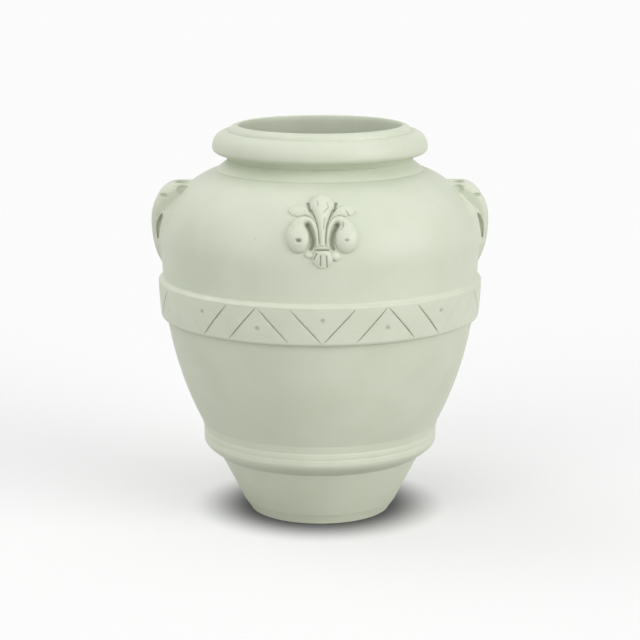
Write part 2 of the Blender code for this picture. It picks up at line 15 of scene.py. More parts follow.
import bmesh
import bpy
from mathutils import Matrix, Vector

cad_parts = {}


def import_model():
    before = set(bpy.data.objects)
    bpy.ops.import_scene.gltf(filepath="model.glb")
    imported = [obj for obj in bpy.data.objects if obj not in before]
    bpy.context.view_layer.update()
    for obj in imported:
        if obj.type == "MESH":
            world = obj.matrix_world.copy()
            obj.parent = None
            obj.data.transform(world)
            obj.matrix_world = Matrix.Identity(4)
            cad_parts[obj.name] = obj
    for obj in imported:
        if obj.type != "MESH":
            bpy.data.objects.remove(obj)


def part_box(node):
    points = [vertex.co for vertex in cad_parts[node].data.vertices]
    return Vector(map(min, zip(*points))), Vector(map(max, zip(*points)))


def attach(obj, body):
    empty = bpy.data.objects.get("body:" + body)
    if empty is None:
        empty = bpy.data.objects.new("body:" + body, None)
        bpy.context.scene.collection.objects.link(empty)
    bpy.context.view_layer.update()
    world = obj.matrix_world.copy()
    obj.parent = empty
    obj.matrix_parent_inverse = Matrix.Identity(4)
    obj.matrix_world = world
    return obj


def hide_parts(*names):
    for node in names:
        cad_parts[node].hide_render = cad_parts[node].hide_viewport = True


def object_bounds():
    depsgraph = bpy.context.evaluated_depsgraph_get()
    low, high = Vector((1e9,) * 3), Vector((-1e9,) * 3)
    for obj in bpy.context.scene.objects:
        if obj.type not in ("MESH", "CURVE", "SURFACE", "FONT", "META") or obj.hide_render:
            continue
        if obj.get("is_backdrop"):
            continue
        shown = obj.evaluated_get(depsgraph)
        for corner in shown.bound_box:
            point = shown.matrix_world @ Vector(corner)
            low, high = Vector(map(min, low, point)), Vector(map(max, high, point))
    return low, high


LOG = logging.getLogger("jar_planter")
BODY = "root"

Piece = bpy.types.Object
Tree = bpy.types.NodeTree
Socket = bpy.types.NodeSocket
Profile = list[tuple[float, float]]
Path = tuple[tuple[float, float], ...]
Station = tuple[float, float, float, float]
Egg = tuple[float, float, float, float, float]

STARTER = 0.01  # size of a primitive before it is shaped
WELD = 1e-6  # points closer than this are one
TURN_STEPS = 192  # flats round a turned piece
EGG_FLATS = 40  # flats round an egg
EGG_ROWS = 24  # rows of flats from end to end of an egg
SOFT_ANGLE = 40.0  # edges sharper than this stay sharp on a plain piece
SOFTENING = 0.5  # share of the way that one round of smoothing takes a point
SEAM = 0.0003  # joint between two luted pieces
HAIRLINE = 0.00003  # joint that is rubbed over, so that it does not show
WHITE = (1.0, 1.0, 1.0, 1.0)


class Slot(Enum):
    """Finish slots of the record."""

    WALL = "wall_clay"
    RELIEF = "relief_clay"


class Side(Enum):
    """The two sides of the jar, seen from the lily."""

    LEFT = -1
    RIGHT = 1


class Bench:
    """Steps of modelling by hand, each done on one piece."""

    @staticmethod
    def clear() -> None:
        """Deselects every object."""
        bpy.ops.object.select_all(action="DESELECT")

    @staticmethod
    def named(name: str) -> Piece:
        """Names the active object and its mesh.

        Args:
            name: The name of both.

        Returns:
            The object.
        """
        piece = bpy.context.object
        piece.name = name
        piece.data.name = name
        return piece

    @staticmethod
    def close() -> None:
        """Welds the mesh in edit mode, turns its faces outwards and goes back to object mode."""
        bpy.ops.mesh.select_all(action="SELECT")
        bpy.ops.mesh.remove_doubles(threshold=WELD)
        bpy.ops.mesh.normals_make_consistent(inside=False)
        bpy.ops.object.mode_set(mode="OBJECT")

    @staticmethod
    def draw(name: str, outline: Profile) -> Piece:
        """Draws a closed line in the XZ plane, point after point, and stays in edit mode.

        Args:
            name: Name of the new piece.
            outline: Points of the line as (across, up).

        Returns:
            The piece, all selected.
        """
        Bench.clear()
        bpy.ops.mesh.primitive_plane_add(size=STARTER)
        piece = Bench.named(name)
        bpy.ops.object.mode_set(mode="EDIT")
        bpy.ops.mesh.merge(type="CENTER")
        bpy.ops.transform.translate(value=(outline[0][0], 0, outline[0][1]))
        for start, end in zip(outline, outline[1:] + outline[:1]):
            step = (end[0] - start[0], 0, end[1] - start[1])
            bpy.ops.mesh.extrude_vertices_move(TRANSFORM_OT_translate={"value": step})
        bpy.ops.mesh.select_all(action="SELECT")
        bpy.ops.mesh.remove_doubles(threshold=WELD)
        return piece

    @staticmethod
    def turn(name: str, outline: Profile) -> Piece:
        """Turns a closed cross-section round the axis of the jar.

        Args:
            name: Name of the new piece.
            outline: Points of the cross-section as (radius, height).

        Returns:
            The closed piece, in object mode.
        """
        piece = Bench.draw(name, outline)
        bpy.ops.mesh.spin(steps=TURN_STEPS, angle=math.tau, center=(0, 0, 0), axis=(0, 0, 1))
        Bench.close()
        return piece

    @staticmethod
    def turned_smooth(name: str, outline: Profile) -> Piece:
        """Turns a cross-section and shades the piece smooth.

        Args:
            name: Name of the new piece.
            outline: Points of the cross-section as (radius, height).

        Returns:
            The smooth piece.
        """
        piece = Bench.turn(name, outline)
        Bench.smooth(piece)
        return piece

    @staticmethod
    def loft(name: str, loops: Sequence[Sequence[Vector]]) -> Piece:
        """Draws a closed loop out through a row of others, and closes both ends.

        Args:
            name: Name of the new piece.
            loops: Rows of points, all of one length.

        Returns:
            The closed piece, in object mode.
        """
        Bench.clear()
        bpy.ops.mesh.primitive_circle_add(vertices=len(loops[0]), radius=STARTER)
        piece = Bench.named(name)
        bpy.ops.object.mode_set(mode="EDIT")
        clay = bmesh.from_edit_mesh(piece.data)
        clay.verts.layers.int.new("seat")
        seat = clay.verts.layers.int["seat"]
        for index, vertex in enumerate(clay.verts):
            vertex[seat] = index
        for row, loop in enumerate(loops):
            if row:
                bpy.ops.mesh.extrude_region_move(TRANSFORM_OT_translate={"value": (0, 0, 0)})
                clay = bmesh.from_edit_mesh(piece.data)
                seat = clay.verts.layers.int["seat"]
            for vertex in clay.verts:
                if vertex.select:
                    vertex.co = loop[vertex[seat]]
        bpy.ops.mesh.select_all(action="SELECT")
        bpy.ops.mesh.fill_holes(sides=0)
        Bench.close()
        return piece

    @staticmethod
    def apply(piece: Piece, kind: str, **settings: object) -> None:
        """Adds a modifier to a piece, sets it and applies it.

        Args:
            piece: The piece to change.
            kind: Type of the modifier.
            settings: Values of its properties.
        """
        modifier = piece.modifiers.new(kind.lower(), kind)
        for key, value in settings.items():
            setattr(modifier, key, value)
        bpy.context.view_layer.objects.active = piece
        bpy.ops.object.modifier_apply(modifier=modifier.name)

    @staticmethod
    def cut(piece: Piece, cutter: Piece) -> None:
        """Takes a cutter out of a piece and throws the cutter away."""
        Bench.apply(piece, "BOOLEAN", operation="DIFFERENCE", solver="EXACT", object=cutter)
        bpy.data.objects.remove(cutter, do_unlink=True)

    @staticmethod
    def join(pieces: Sequence[Piece]) -> Piece:
        """Joins pieces into the first of them.

        Args:
            pieces: The pieces, of which there may be only one.

        Returns:
            The joined piece, selected.
        """
        Bench.clear()
        for piece in pieces:
            piece.select_set(True)
        bpy.context.view_layer.objects.active = pieces[0]
        if len(pieces) > 1:
            bpy.ops.object.join()
        return pieces[0]

    @staticmethod
    def knead(piece: Piece, grain: float, rounds: int) -> None:
        """Makes a joined piece one skin of even grain and softens its edges.

        Args:
            piece: The piece, made of closed shells.
            grain: Width of one cell of the new skin.
            rounds: How often the skin is smoothed.
        """
        Bench.apply(piece, "REMESH", mode="VOXEL", voxel_size=grain)
        Bench.apply(piece, "SMOOTH", factor=SOFTENING, iterations=rounds)

    @staticmethod
    def mirrored(piece: Piece, name: str) -> Piece:
        """Copies a piece to the other side of the jar, with a mesh of its own.

        Args:
            piece: The piece to copy.
            name: Name of the copy.

        Returns:
            The copy, mirrored across X.
        """
        Bench.clear()
        piece.select_set(True)
        bpy.context.view_layer.objects.active = piece
        bpy.ops.object.duplicate()
        twin = Bench.named(name)
        bpy.ops.object.mode_set(mode="EDIT")
        bpy.ops.mesh.select_all(action="SELECT")
        bpy.ops.transform.resize(value=(-1, 1, 1), center_override=(0, 0, 0))
        Bench.close()
        return twin

    @staticmethod
    def egg(name: str, centre: Sequence[float], sizes: Sequence[float]) -> Piece:
        """Adds an egg of clay, used to press a hollow or to fill out a form.

        Args:
            name: Name of the egg.
            centre: Its middle.
            sizes: Its three half sizes.

        Returns:
            The egg, in object mode.
        """
        Bench.clear()
        bpy.ops.mesh.primitive_uv_sphere_add(segments=EGG_FLATS, ring_count=EGG_ROWS, radius=1)
        piece = Bench.named(name)
        bpy.ops.object.mode_set(mode="EDIT")
        bpy.ops.transform.resize(value=sizes)
        bpy.ops.transform.translate(value=centre)
        Bench.close()
        return piece

    @staticmethod
    def smooth(piece: Piece, degrees: float = SOFT_ANGLE) -> None:
        """Shades a piece smooth, but for its sharp edges.

        Args:
            piece: The piece to shade.
            degrees: Angle above which an edge stays sharp.
        """
        Bench.clear()
        piece.select_set(True)
        bpy.context.view_layer.objects.active = piece
        bpy.ops.object.shade_smooth_by_angle(angle=math.radians(degrees))


def clamp(value: float) -> float:
    """Keeps a share between 0 and 1."""
    return max(0.0, min(1.0, value))


def ease(value: float) -> float:
    """Turns a share into one that starts and ends softly."""
    share = clamp(value)
    return share * share * (3 - 2 * share)


def ellipse_arc(
    centre: tuple[float, float], sizes: tuple[float, float], turn: tuple[float, float], steps: int
) -> Profile:
    """Points on part of an ellipse.

    Args:
        centre: Middle of the ellipse.
        sizes: Its two half sizes.
        turn: Start and end of the part, in degrees.
        steps: Number of stretches between points.

    Returns:
        The points, both ends included.
    """
    start, end = (math.radians(t) for t in turn)
    angles = [start + (end - start) * i / steps for i in range(steps + 1)]
    return [
        (centre[0] + sizes[0] * math.cos(a), centre[1] + sizes[1] * math.sin(a)) for a in angles
    ]


def quadratic(points: Sequence[tuple[float, float]], steps: int) -> Profile:
    """Points on a quadratic curve.

    Args:
        points: Its start, control and end points.
        steps: Number of stretches between points.

    Returns:
        The points, both ends included.
    """
    start, control, end = (Vector(p) for p in points)
    shares = [i / steps for i in range(steps + 1)]
    return [
        tuple(start * (1 - t) ** 2 + control * (2 * t * (1 - t)) + end * t * t) for t in shares
    ]


def smooth_row(stations: Sequence[Sequence[float]], steps: int) -> list[Vector]:
    """Runs a smooth line through a short row of stations.

    Args:
        stations: Points of any size, in order.
        steps: Points from one station to the next.

    Returns:
        The points, both ends included.
    """
    rows = [Vector(station) for station in stations]
    padded = [2 * rows[0] - rows[1], *rows, 2 * rows[-1] - rows[-2]]
    path = []
    for a, b, c, d in zip(padded, padded[1:], padded[2:], padded[3:]):
        for i in range(steps):
            t = i / steps
            bend = (2 * a - 5 * b + 4 * c - d) * t**2 + (3 * b - a - 3 * c + d) * t**3
            path.append((2 * b + (c - a) * t + bend) / 2)
    return path + [rows[-1]]


@dataclass
class JarForm:
    """Wall of the jar, by height: a cone, a swelling belly and a round shoulder."""

    wall: float = 0.016
    lap: float = 0.012
    heel_height: float = 0.0165
    cone_height: float = 0.1255
    cone_spread: float = 0.0639
    belly_height: float = 0.279
    belly_fullness: float = 2.36
    throat_radius: float = 0.124
    shoulder_inset: float = 0.0056
    neck_wall: float = 0.0155
    collar_spread: float = 0.0185

    def __post_init__(self) -> None:
        """Takes the sizes that the frame gives, and works out the others."""
        self.heel_radius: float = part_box("base_slab")[1].x
        self.widest_radius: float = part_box("shoulder_section")[1].x
        self.collar_z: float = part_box("rim_section")[0].z - SEAM
        self.waist_z = self.heel_height + self.cone_height
        self.widest_z = self.waist_z + self.belly_height
        self.belly_spread = self.widest_radius - self.heel_radius - self.cone_spread
        self.neck_radius = self.throat_radius + self.neck_wall
        self.collar_radius = self.neck_radius + self.collar_spread
        self.core_radius = self.throat_radius - self.shoulder_inset
        self.shoulder_depth = self.widest_radius - self.core_radius
        self.shoulder_climb = math.acos(
            (self.collar_radius - self.core_radius) / self.shoulder_depth
        )
        self.shoulder_height = (self.collar_z - self.widest_z) / math.sin(self.shoulder_climb)

    def outer(self, z: float) -> float:
        """Outside radius of the plain wall.

        Args:
            z: Height on the jar.

        Returns:
            The radius at that height.
        """
        if z <= self.waist_z:
            return self.heel_radius + self.cone_spread * (z - self.heel_height) / self.cone_height
        if z <= self.widest_z:
            share = (self.widest_z - z) / self.belly_height
            return self.widest_radius - self.belly_spread * share**self.belly_fullness
        climb = min(1.0, (z - self.widest_z) / self.shoulder_height)
        return self.core_radius + self.shoulder_depth * math.sqrt(1 - climb * climb)

    def slope(self, z: float) -> float:
        """Outward run of the wall for each unit of height.

        Args:
            z: Height on the jar, up to the widest line.

        Returns:
            The run at that height.
        """
        if z <= self.waist_z:
            return self.cone_spread / self.cone_height
        share = max(0.0, (self.widest_z - z) / self.belly_height)
        steep = self.belly_spread * self.belly_fullness / self.belly_height
        return steep * share ** (self.belly_fullness - 1)

    def inner(self, z: float) -> float:
        """Inside radius of the wall at a height, up to the widest line."""
        return self.outer(z) - self.wall * math.hypot(1, self.slope(z))

    def lap_face(self, z: float) -> float:
        """Radius in the middle of the wall, where two sections lap."""
        return (self.outer(z) + self.inner(z)) / 2

    def line(
        self, radius: Callable[[float], float], ends: tuple[float, float], steps: int
    ) -> Profile:
        """Points along one face of the wall between two heights, both included."""
        heights = [ends[0] + (ends[1] - ends[0]) * i / steps for i in range(steps + 1)]
        return [(radius(z), z) for z in heights]

    def shoulder_line(self, depth: float, turn: tuple[float, float], steps: int) -> Profile:
        """Points along the shoulder's ellipse, at a depth into the wall, between two climbs."""
        sizes = (self.shoulder_depth - depth, self.shoulder_height - depth)
        return ellipse_arc((self.core_radius, self.widest_z), sizes, turn, steps)

    def socket(self, z: float) -> Profile:
        """Top of a lower section, whose outer half stands up round the next one.

        Args:
            z: Height of the joint.

        Returns:
            Points of the top, from the outside in.
        """
        top = z + self.lap
        return [
            (self.outer(top), top),
            (self.lap_face(top) + SEAM, top),
            (self.lap_face(z) + SEAM, z),
            (self.inner(z), z),
        ]

    def tongue(self, z: float) -> Profile:
        """Bottom of an upper section, whose inner half goes down into the socket.

        Args:
            z: Height of the joint.

        Returns:
            Points of the bottom, from the inside out.
        """
        low = z + SEAM
        high = z + self.lap + SEAM
        return [
            (self.inner(low), low),
            (self.lap_face(low), low),
            (self.lap_face(high), high),
            (self.outer(high), high),
        ]


@dataclass
class TurnedWall:
    """Base slab and the three turned sections of the wall, from the floor to the collar."""

    form: JarForm
    base_edge: float = 0.0012
    heel_lean: float = 0.0106
    drain_radius: float = 0.018
    edge_steps: int = 6
    cone_steps: int = 10
    belly_steps: tuple[int, int] = (30, 20)  # outside and inside
    shoulder_steps: tuple[int, int] = (36, 20)
    upright_steps: tuple[int, int] = (8, 6)

    def __post_init__(self) -> None:
        """Takes the heights of the joints from the pieces that cover them."""
        ledge_low, ledge_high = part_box("foot_ledge")
        band_low, band_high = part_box("belly_band")
        self.lower_joint = (ledge_low.z + ledge_high.z - self.form.lap) / 2
        self.upper_joint = (band_low.z + band_high.z - self.form.lap) / 2
        self.band_top = band_high.z

    def slab(self) -> Piece:
        """Builds the base slab, with its heel, step and drain hole.

        Returns:
            The slab.
        """
        form = self.form
        floor_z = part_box("base_slab")[1].z
        step = form.inner(form.heel_height) - SEAM
        low = form.heel_radius - self.heel_lean
        edge = ellipse_arc(
            (low - self.base_edge, self.base_edge), (self.base_edge,) * 2, (-90, 0), self.edge_steps
        )
        outline = [
            (self.drain_radius, 0),
            *edge,
            (form.heel_radius, form.heel_height),
            (step, form.heel_height),
            (step, floor_z),
            (self.drain_radius, floor_z),
        ]
        return Bench.turned_smooth("slab_clay", outline)

    def foot(self) -> Piece:
        """Builds the cone of the foot.

        Returns:
            The cone.
        """
        form = self.form
        seat = form.heel_height + HAIRLINE
        outline = [
            *form.line(form.outer, (seat, self.lower_joint), self.cone_steps),
            *form.socket(self.lower_joint),
            *form.line(form.inner, (self.lower_joint, seat), self.cone_steps)[1:],
        ]
        return Bench.turned_smooth("foot_wall", outline)

    def belly(self) -> Piece:
        """Builds the swelling wall from the ledge to the band.

        Returns:
            The wall.
        """
        form = self.form
        outside, inside = self.belly_steps
        outline = [
            *form.tongue(self.lower_joint),
            *form.line(form.outer, (form.waist_z, self.upper_joint), outside),
            *form.socket(self.upper_joint),
            *form.line(form.inner, (self.upper_joint, form.waist_z), inside)[1:],
        ]
        return Bench.turned_smooth("belly_wall", outline)

    def shoulder(self) -> Piece:
        """Builds the wall from the band over the shoulder, with a spigot for the rim.

        Returns:
            The wall.
        """
        form = self.form
        round_outside, round_inside = self.shoulder_steps
        outside, inside = self.upright_steps
        spigot = form.throat_radius + form.neck_wall / 2
        spigot_z = form.collar_z + form.lap
        climb = math.degrees(form.shoulder_climb)
        throat = math.degrees(math.acos(form.shoulder_inset / (form.shoulder_depth - form.wall)))
        outline = [
            *form.tongue(self.upper_joint),
            *form.line(form.outer, (self.band_top, form.widest_z), outside)[:-1],
            *form.shoulder_line(0, (0, climb), round_outside),
            (spigot, form.collar_z),
            (spigot, spigot_z),
            (form.throat_radius, spigot_z),
            *form.shoulder_line(form.wall, (throat, 0), round_inside),
            *form.line(form.inner, (form.widest_z, self.band_top), inside)[1:],
        ]
        return Bench.turned_smooth("shoulder_wall", outline)


@dataclass
class RolledRim:
    """Collar, neck, thick roll and the lip inside it, turned as one."""

    form: JarForm
    neck_rise: float = 0.0149
    collar_swell: float = 0.0004
    roll_rise: float = 0.0195
    roll_offset: float = 0.0033
    roll_depth: float = 0.0214
    roll_upper: float = 0.024
    roll_lower: float = 0.0110
    roll_fullness: float = 1.22
    roll_turn: tuple[float, float] = (-80, 100)
    lip_height: float = 0.0096
    lip_round: float = 0.0026
    lip_edge: float = 0.0112
    lip_fall: float = 0.0008
    # share of painted shade on the left inside of the throat
    throat_shade: float = 0.45
    collar_steps: int = 20
    undercut_steps: int = 16
    roll_steps: int = 24
    lip_steps: tuple[int, int] = (8, 10)  # outside and inside

    def undercut(self, middle: tuple[float, float]) -> Profile:
        """Underside of the roll, from the neck out to its widest point.

        Args:
            middle: Middle of the roll as (radius, height).

        Returns:
            The points, both ends included.
        """
        power = 1 / self.roll_fullness
        points = []
        for i in range(self.undercut_steps + 1):
            turn = math.radians(self.roll_turn[0] * (1 - i / self.undercut_steps))
            out = self.roll_depth * math.cos(turn) ** power
            down = self.roll_lower * math.sin(-turn) ** power
            points.append((middle[0] + out, middle[1] - down))
        return points

    def build(self) -> Piece:
        """Turns the rim.

        Returns:
            The rim, with painted shade on the left of its throat.
        """
        form = self.form
        seat = form.collar_z + HAIRLINE
        neck_z = form.collar_z + self.neck_rise
        sweep = (
            (form.neck_radius + form.collar_radius) / 2 + self.collar_swell,
            (seat + neck_z) / 2 + self.collar_swell,
        )
        collar = quadratic(
            ((form.collar_radius, seat), sweep, (form.neck_radius, neck_z)), self.collar_steps
        )
        middle = (form.neck_radius + self.roll_offset, neck_z + self.roll_rise)
        roll = ellipse_arc(
            middle, (self.roll_depth, self.roll_upper), (0, self.roll_turn[1]), self.roll_steps
        )
        crease_radius, crease_z = roll[-1]
        outside, inside = self.lip_steps
        lip_outside = ellipse_arc(
            (crease_radius - self.lip_edge, crease_z),
            (self.lip_edge, self.lip_height - self.lip_fall), (0, 90), outside,
        )
        lip_inside = ellipse_arc(
            (form.throat_radius + self.lip_round, crease_z),
            (self.lip_round, self.lip_height), (90, 180), inside,
        )
        spigot = form.throat_radius + form.neck_wall / 2 + SEAM
        outline = [
            *collar, *self.undercut(middle)[:-1], *roll, *lip_outside[1:], *lip_inside,
            (form.throat_radius, seat + form.lap), (spigot, seat + form.lap), (spigot, seat),
        ]
        rim = Bench.turned_smooth("rolled_rim", outline)
        # painted shade on the left inside of the throat
        Recess.mark(rim, self.throat_shade_at, 1.0, self.throat_shade)
        return rim

    def throat_shade_at(self, point: Vector) -> float:
        """Share of painted shade that the left of the inside of the throat gets.

        Args:
            point: A point of the rim.

        Returns:
            The share at that point.
        """
        if math.hypot(point.x, point.y) > self.form.throat_radius + self.lip_round / 2:
            return 0.0
        return ease(0.5 - point.x / self.form.throat_radius)


@dataclass
class LedgeMoulding:
    """Moulded ledge over the lower joint: a rounded underside and a drum of two soft beads."""

    form: JarForm
    toe: float = 0.0008
    overhang: float = 0.0132
    underside: float = 0.0200
    turn_in: float = 0.0018
    turn_down: float = 0.0075
    bead: float = 0.0096
    bead_depth: float = 0.0005
    top_edge: float = 0.00012
    beads: int = 2
    bead_steps: int = 10
    underside_steps: int = 16

    def build(self) -> Piece:
        """Turns the ledge.

        Returns:
            The ledge.
        """
        form = self.form
        low, high = (corner.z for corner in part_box("foot_ledge"))
        drum_z = low + self.underside
        drum = form.outer(drum_z) + self.overhang
        toe = (form.outer(low) + self.toe, low)
        turn = (drum - self.turn_in, drum_z - self.turn_down)
        beads: Profile = []
        for row in range(self.beads):
            middle = drum_z + self.bead * (row + 0.5)
            beads += ellipse_arc(
                (drum, middle), (self.bead_depth, self.bead / 2), (-90, 90), self.bead_steps
            )[1:]
        outline = [
            *quadratic((toe, turn, (drum, drum_z)), self.underside_steps),
            *beads,
            (form.outer(high) + self.top_edge, high),
            *form.line(lambda z: form.outer(z) + HAIRLINE, (high, low), 1),
        ]
        return Bench.turned_smooth("ledge_moulding", outline)


@dataclass
class ScoredBand:
    """Flat band over the upper joint, with a zigzag of scored strokes and pressed dots."""

    form: JarForm
    thickness: float = 0.0064
    flare: float = 0.0019
    edge: float = 0.0058
    crest_drop: float = 0.0015
    crest: float = 0.0058
    lip: float = 0.0012
    zigzags: int = 8
    stroke_margin: float = 0.0075
    apex_gap: float = 0.0017
    stroke_width: float = 0.0023
    stroke_depth: float = 0.0019
    # share of painted shade at the bottom of strokes and dots
    stroke_shade: float = 0.60
    dot_radius: float = 0.0042
    dot_depth: float = 0.0015
    dot_high: float = 0.0066
    dot_low: float = -0.0080
    stroke_drop: float = 0.0028
    worn_turn: tuple[float, float] = (46, 68)
    light_touch: float = 0.3
    stroke_rim: tuple[float, float] = (1.9, 0.0004)  # offset in half widths, and lift
    stroke_ease: tuple[float, float] = (1.15, -0.00004)
    stroke_back: tuple[float, float] = (1.2, 0.0016)
    stroke_flank: tuple[float, float] = (0.6, 0.55)  # offset, and share of the depth
    stroke_end: float = 0.55
    stroke_gain: float = 0.45
    stroke_run_in: float = 6.0
    stroke_steps: int = 10
    dot_rim: tuple[tuple[float, float], ...] = ((1.35, 0.0010), (1.12, 0.0001))
    dot_bowl: tuple[tuple[float, float], ...] = ((0.86, -0.4), (0.5, -0.8), (0.12, -1.0))
    dot_sides: int = 20
    edge_steps: int = 10
    face_steps: int = 72
    back_steps: int = 24
    sharp: float = 28.0

    def __post_init__(self) -> None:
        """Takes the heights of the band from the frame."""
        self.low, self.high = (corner.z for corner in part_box("belly_band"))
        self.middle = (self.low + self.high) / 2

    def face(self, z: float) -> float:
        """Outside radius of the band, whose top runs out into the wall in a soft curve.

        Args:
            z: Height on the jar.

        Returns:
            The radius at that height.
        """
        share = (self.high - z) / (self.high - self.low)
        swell = ease((self.high - self.crest_drop - z) / self.crest)
        return self.form.outer(z) + (self.thickness + self.flare * share) * swell + 4 * HAIRLINE

    def place(self, across: float, up: float, lift: float) -> Vector:
        """Finds a point on the band.

        Args:
            across: Distance round the band from the front.
            up: Distance up from its middle line.
            lift: Distance out from its face.

        Returns:
            The point.
        """
        turn = across / self.face(self.middle)
        radius = self.face(self.middle + up) + lift
        return Vector((radius * math.sin(turn), -radius * math.cos(turn), self.middle + up))

    def touch(self, across: float) -> float:
        """Share of its full size that a mark has: the tool went lightly over the two sides.

        Args:
            across: Distance of the mark round the band from the front.

        Returns:
            The share.
        """
        turn = math.degrees(across / self.face(self.middle))
        turn = abs((turn + 180) % 360 - 180)
        low, high = self.worn_turn
        return self.light_touch if low < turn < high else 1.0

    def stroke(self, name: str, ends: Sequence[tuple[float, float]]) -> Piece:
        """Builds the cutter of one scored stroke: a V with eased shoulders and tapered ends.

        Args:
            name: Name of the cutter.
            ends: Start and end of the stroke as (across, up).

        Returns:
            The cutter, laid on the band.
        """
        start, end = (Vector(p) for p in ends)
        run = (end - start).normalized()
        side = Vector((-run.y, run.x))
        width = self.stroke_width / 2
        touch = self.touch((start.x + end.x) / 2)
        flank, flank_depth = self.stroke_flank
        back, back_lift = self.stroke_back
        slope = (self.stroke_rim, self.stroke_ease, (flank, -flank_depth * self.stroke_depth))
        section = [
            *slope,
            (0, -self.stroke_depth),
            *((-offset, lift) for offset, lift in reversed(slope)),
            (-back, back_lift),
            (back, back_lift),
        ]
        loops = []
        for i in range(self.stroke_steps + 1):
            share = i / self.stroke_steps
            run_in = self.stroke_run_in * min(share, 1 - share)
            taper = touch * (self.stroke_end + self.stroke_gain * min(1.0, run_in))
            spot = start.lerp(end, share)
            loop = []
            for offset, lift in section:
                point = spot + side * (offset * width * taper)
                depth = lift * taper if lift < 0 else lift
                loop.append(self.place(point.x, point.y, depth))
            loops.append(loop)
        return Bench.loft(name, loops)

    def dot(self, name: str, across: float, up: float) -> Piece:
        """Builds the cutter of one dot, as a round tool leaves it.

        Args:
            name: Name of the cutter.
            across: Distance of the dot round the band from the front.
            up: Its distance up from the middle line.

        Returns:
            The cutter, laid on the band.
        """
        touch = self.touch(across)
        bowl = [(share, lift * self.dot_depth * touch) for share, lift in self.dot_bowl]
        turns = [math.tau * i / self.dot_sides for i in range(self.dot_sides)]
        loops = []
        for share, lift in (*self.dot_rim, *bowl):
            radius = self.dot_radius * share
            loops.append([
                self.place(across + radius * math.cos(t), up + radius * math.sin(t), lift)
                for t in turns
            ])
        return Bench.loft(name, loops)

    def ring(self) -> Piece:
        """Turns the plain band.

        Returns:
            The band before it is scored.
        """
        form = self.form
        rounding = self.thickness - self.lip
        low = self.low + self.edge
        middle = (self.face(low) - rounding, low)
        outline = [
            *ellipse_arc(middle, (rounding, self.edge), (-90, 0), self.edge_steps),
            *form.line(self.face, (low, self.high), self.face_steps)[1:],
            *form.line(lambda z: form.outer(z) + HAIRLINE, (self.high, self.low), self.back_steps),
        ]
        return Bench.turn("zigzag_band", outline)

    def build(self) -> Piece:
        """Turns the band and scores it all round.

        Returns:
            The band.
        """
        band = self.ring()
        reach = (self.high - self.low) / 2 - self.stroke_margin
        quarter = math.pi * self.face(self.middle) / (2 * self.zigzags)
        cutters = []
        for repeat in range(self.zigzags):
            valley = 4 * quarter * repeat
            for step, rise in enumerate((1, 1, -1, -1)):
                left = valley + step * quarter + self.apex_gap
                right = valley + (step + 1) * quarter - self.apex_gap
                ends = (
                    (left, -rise * reach - self.stroke_drop),
                    (right, rise * reach - self.stroke_drop),
                )
                cutters.append(self.stroke("stroke", ends))
            cutters.append(self.dot("dot", valley, self.dot_high))
            cutters.append(self.dot("dot", valley + 2 * quarter, self.dot_low))
        Bench.cut(band, Bench.join(cutters))
        # painted shade in the strokes and dots, by their depth
        Recess.mark(band, self.depth_at, self.stroke_depth, self.stroke_shade)
        Bench.smooth(band, self.sharp)
        return band

    def depth_at(self, point: Vector) -> float:
        """How far a point lies inside the flat face of the band.

        Args:
            point: A point of the band.

        Returns:
            Its depth, or 0 where no mark is.
        """
        if not self.low + self.edge < point.z < self.high - self.lip:
            return 0.0
        depth = self.face(point.z) - math.hypot(point.x, point.y)
        return depth if depth < 2 * self.dot_depth else 0.0


class Recess:
    """Painted shade in pressed and scored places, kept as an attribute of the mesh."""

    NAME = "recess"

    @staticmethod
    def layer(piece: Piece) -> bpy.types.Attribute:
        """Finds the painted shade of a piece, or starts it.

        Args:
            piece: The piece that has the shade.

        Returns:
            The attribute, with one value for each point.
        """
        attributes = piece.data.attributes
        if Recess.NAME not in attributes:
            attributes.new(Recess.NAME, "FLOAT", "POINT")
        return attributes[Recess.NAME]

    @staticmethod
    def mark(
        piece: Piece, depth_at: Callable[[Vector], float], full: float, most: float = 1.0
    ) -> None:
        """Writes painted shade on each point of a piece, by how deep it lies.

        Args:
            piece: The piece to mark.
            depth_at: Gives the depth of a point, in metres.
            full: Depth that counts as fully recessed.
            most: Painted shade of a point that is fully recessed.
        """
        shade = Recess.layer(piece)
        for index, vertex in enumerate(piece.data.vertices):
            value = most * clamp(depth_at(vertex.co) / full)
            shade.data[index].value = max(shade.data[index].value, value)


@dataclass(frozen=True)
class Stylus:
    """A modelling tool with a round tip, pressed into soft clay, which also paints shade along its
    path.
    """

    radius: float
    depth: float
    # share of painted shade that the tool leaves along its path
    painted_shade: float = 1.0

    REACH = 3  # radii from the path at which the tool is no longer felt
    THIN = 0.0004  # clay lower than this is not touched
    SKIN = 0.0002  # clay that always stays under the tool
    NO_RUN = 1e-12  # stands in for the length of a stretch that has none

    def press(self, piece: Piece, path: Sequence[tuple[float, float]]) -> None:
        """Draws the tool along a path on a flat sprig, which faces -Y, and paints shade along it.

        Args:
            piece: The sprig, before it is laid on the jar.
            path: Points of the path as (across, up).
        """
        points = [Vector(p) for p in path]
        shade = Recess.layer(piece)
        reach = self.REACH * self.radius
        for index, vertex in enumerate(piece.data.vertices):
            spot = Vector((vertex.co.x, vertex.co.z))
            near = min(self.away(spot, a, b) for a, b in zip(points, points[1:]))
            if near > reach or -vertex.co.y < self.THIN:
                continue
            share = math.exp(-((near / self.radius) ** 2))
            vertex.co.y += min(self.depth * share, max(0.0, -vertex.co.y - self.SKIN))
            shade.data[index].value = max(shade.data[index].value, self.painted_shade * share)

    @staticmethod
    def away(spot: Vector, start: Vector, end: Vector) -> float:
        """Distance of a spot from one stretch of the path.

        Args:
            spot: The spot as (across, up).
            start: Start of the stretch.
            end: End of the stretch.

        Returns:
            The distance.
        """
        run = end - start
        share = clamp((spot - start).dot(run) / max(run.length_squared, Stylus.NO_RUN))
        return (spot - start - run * share).length


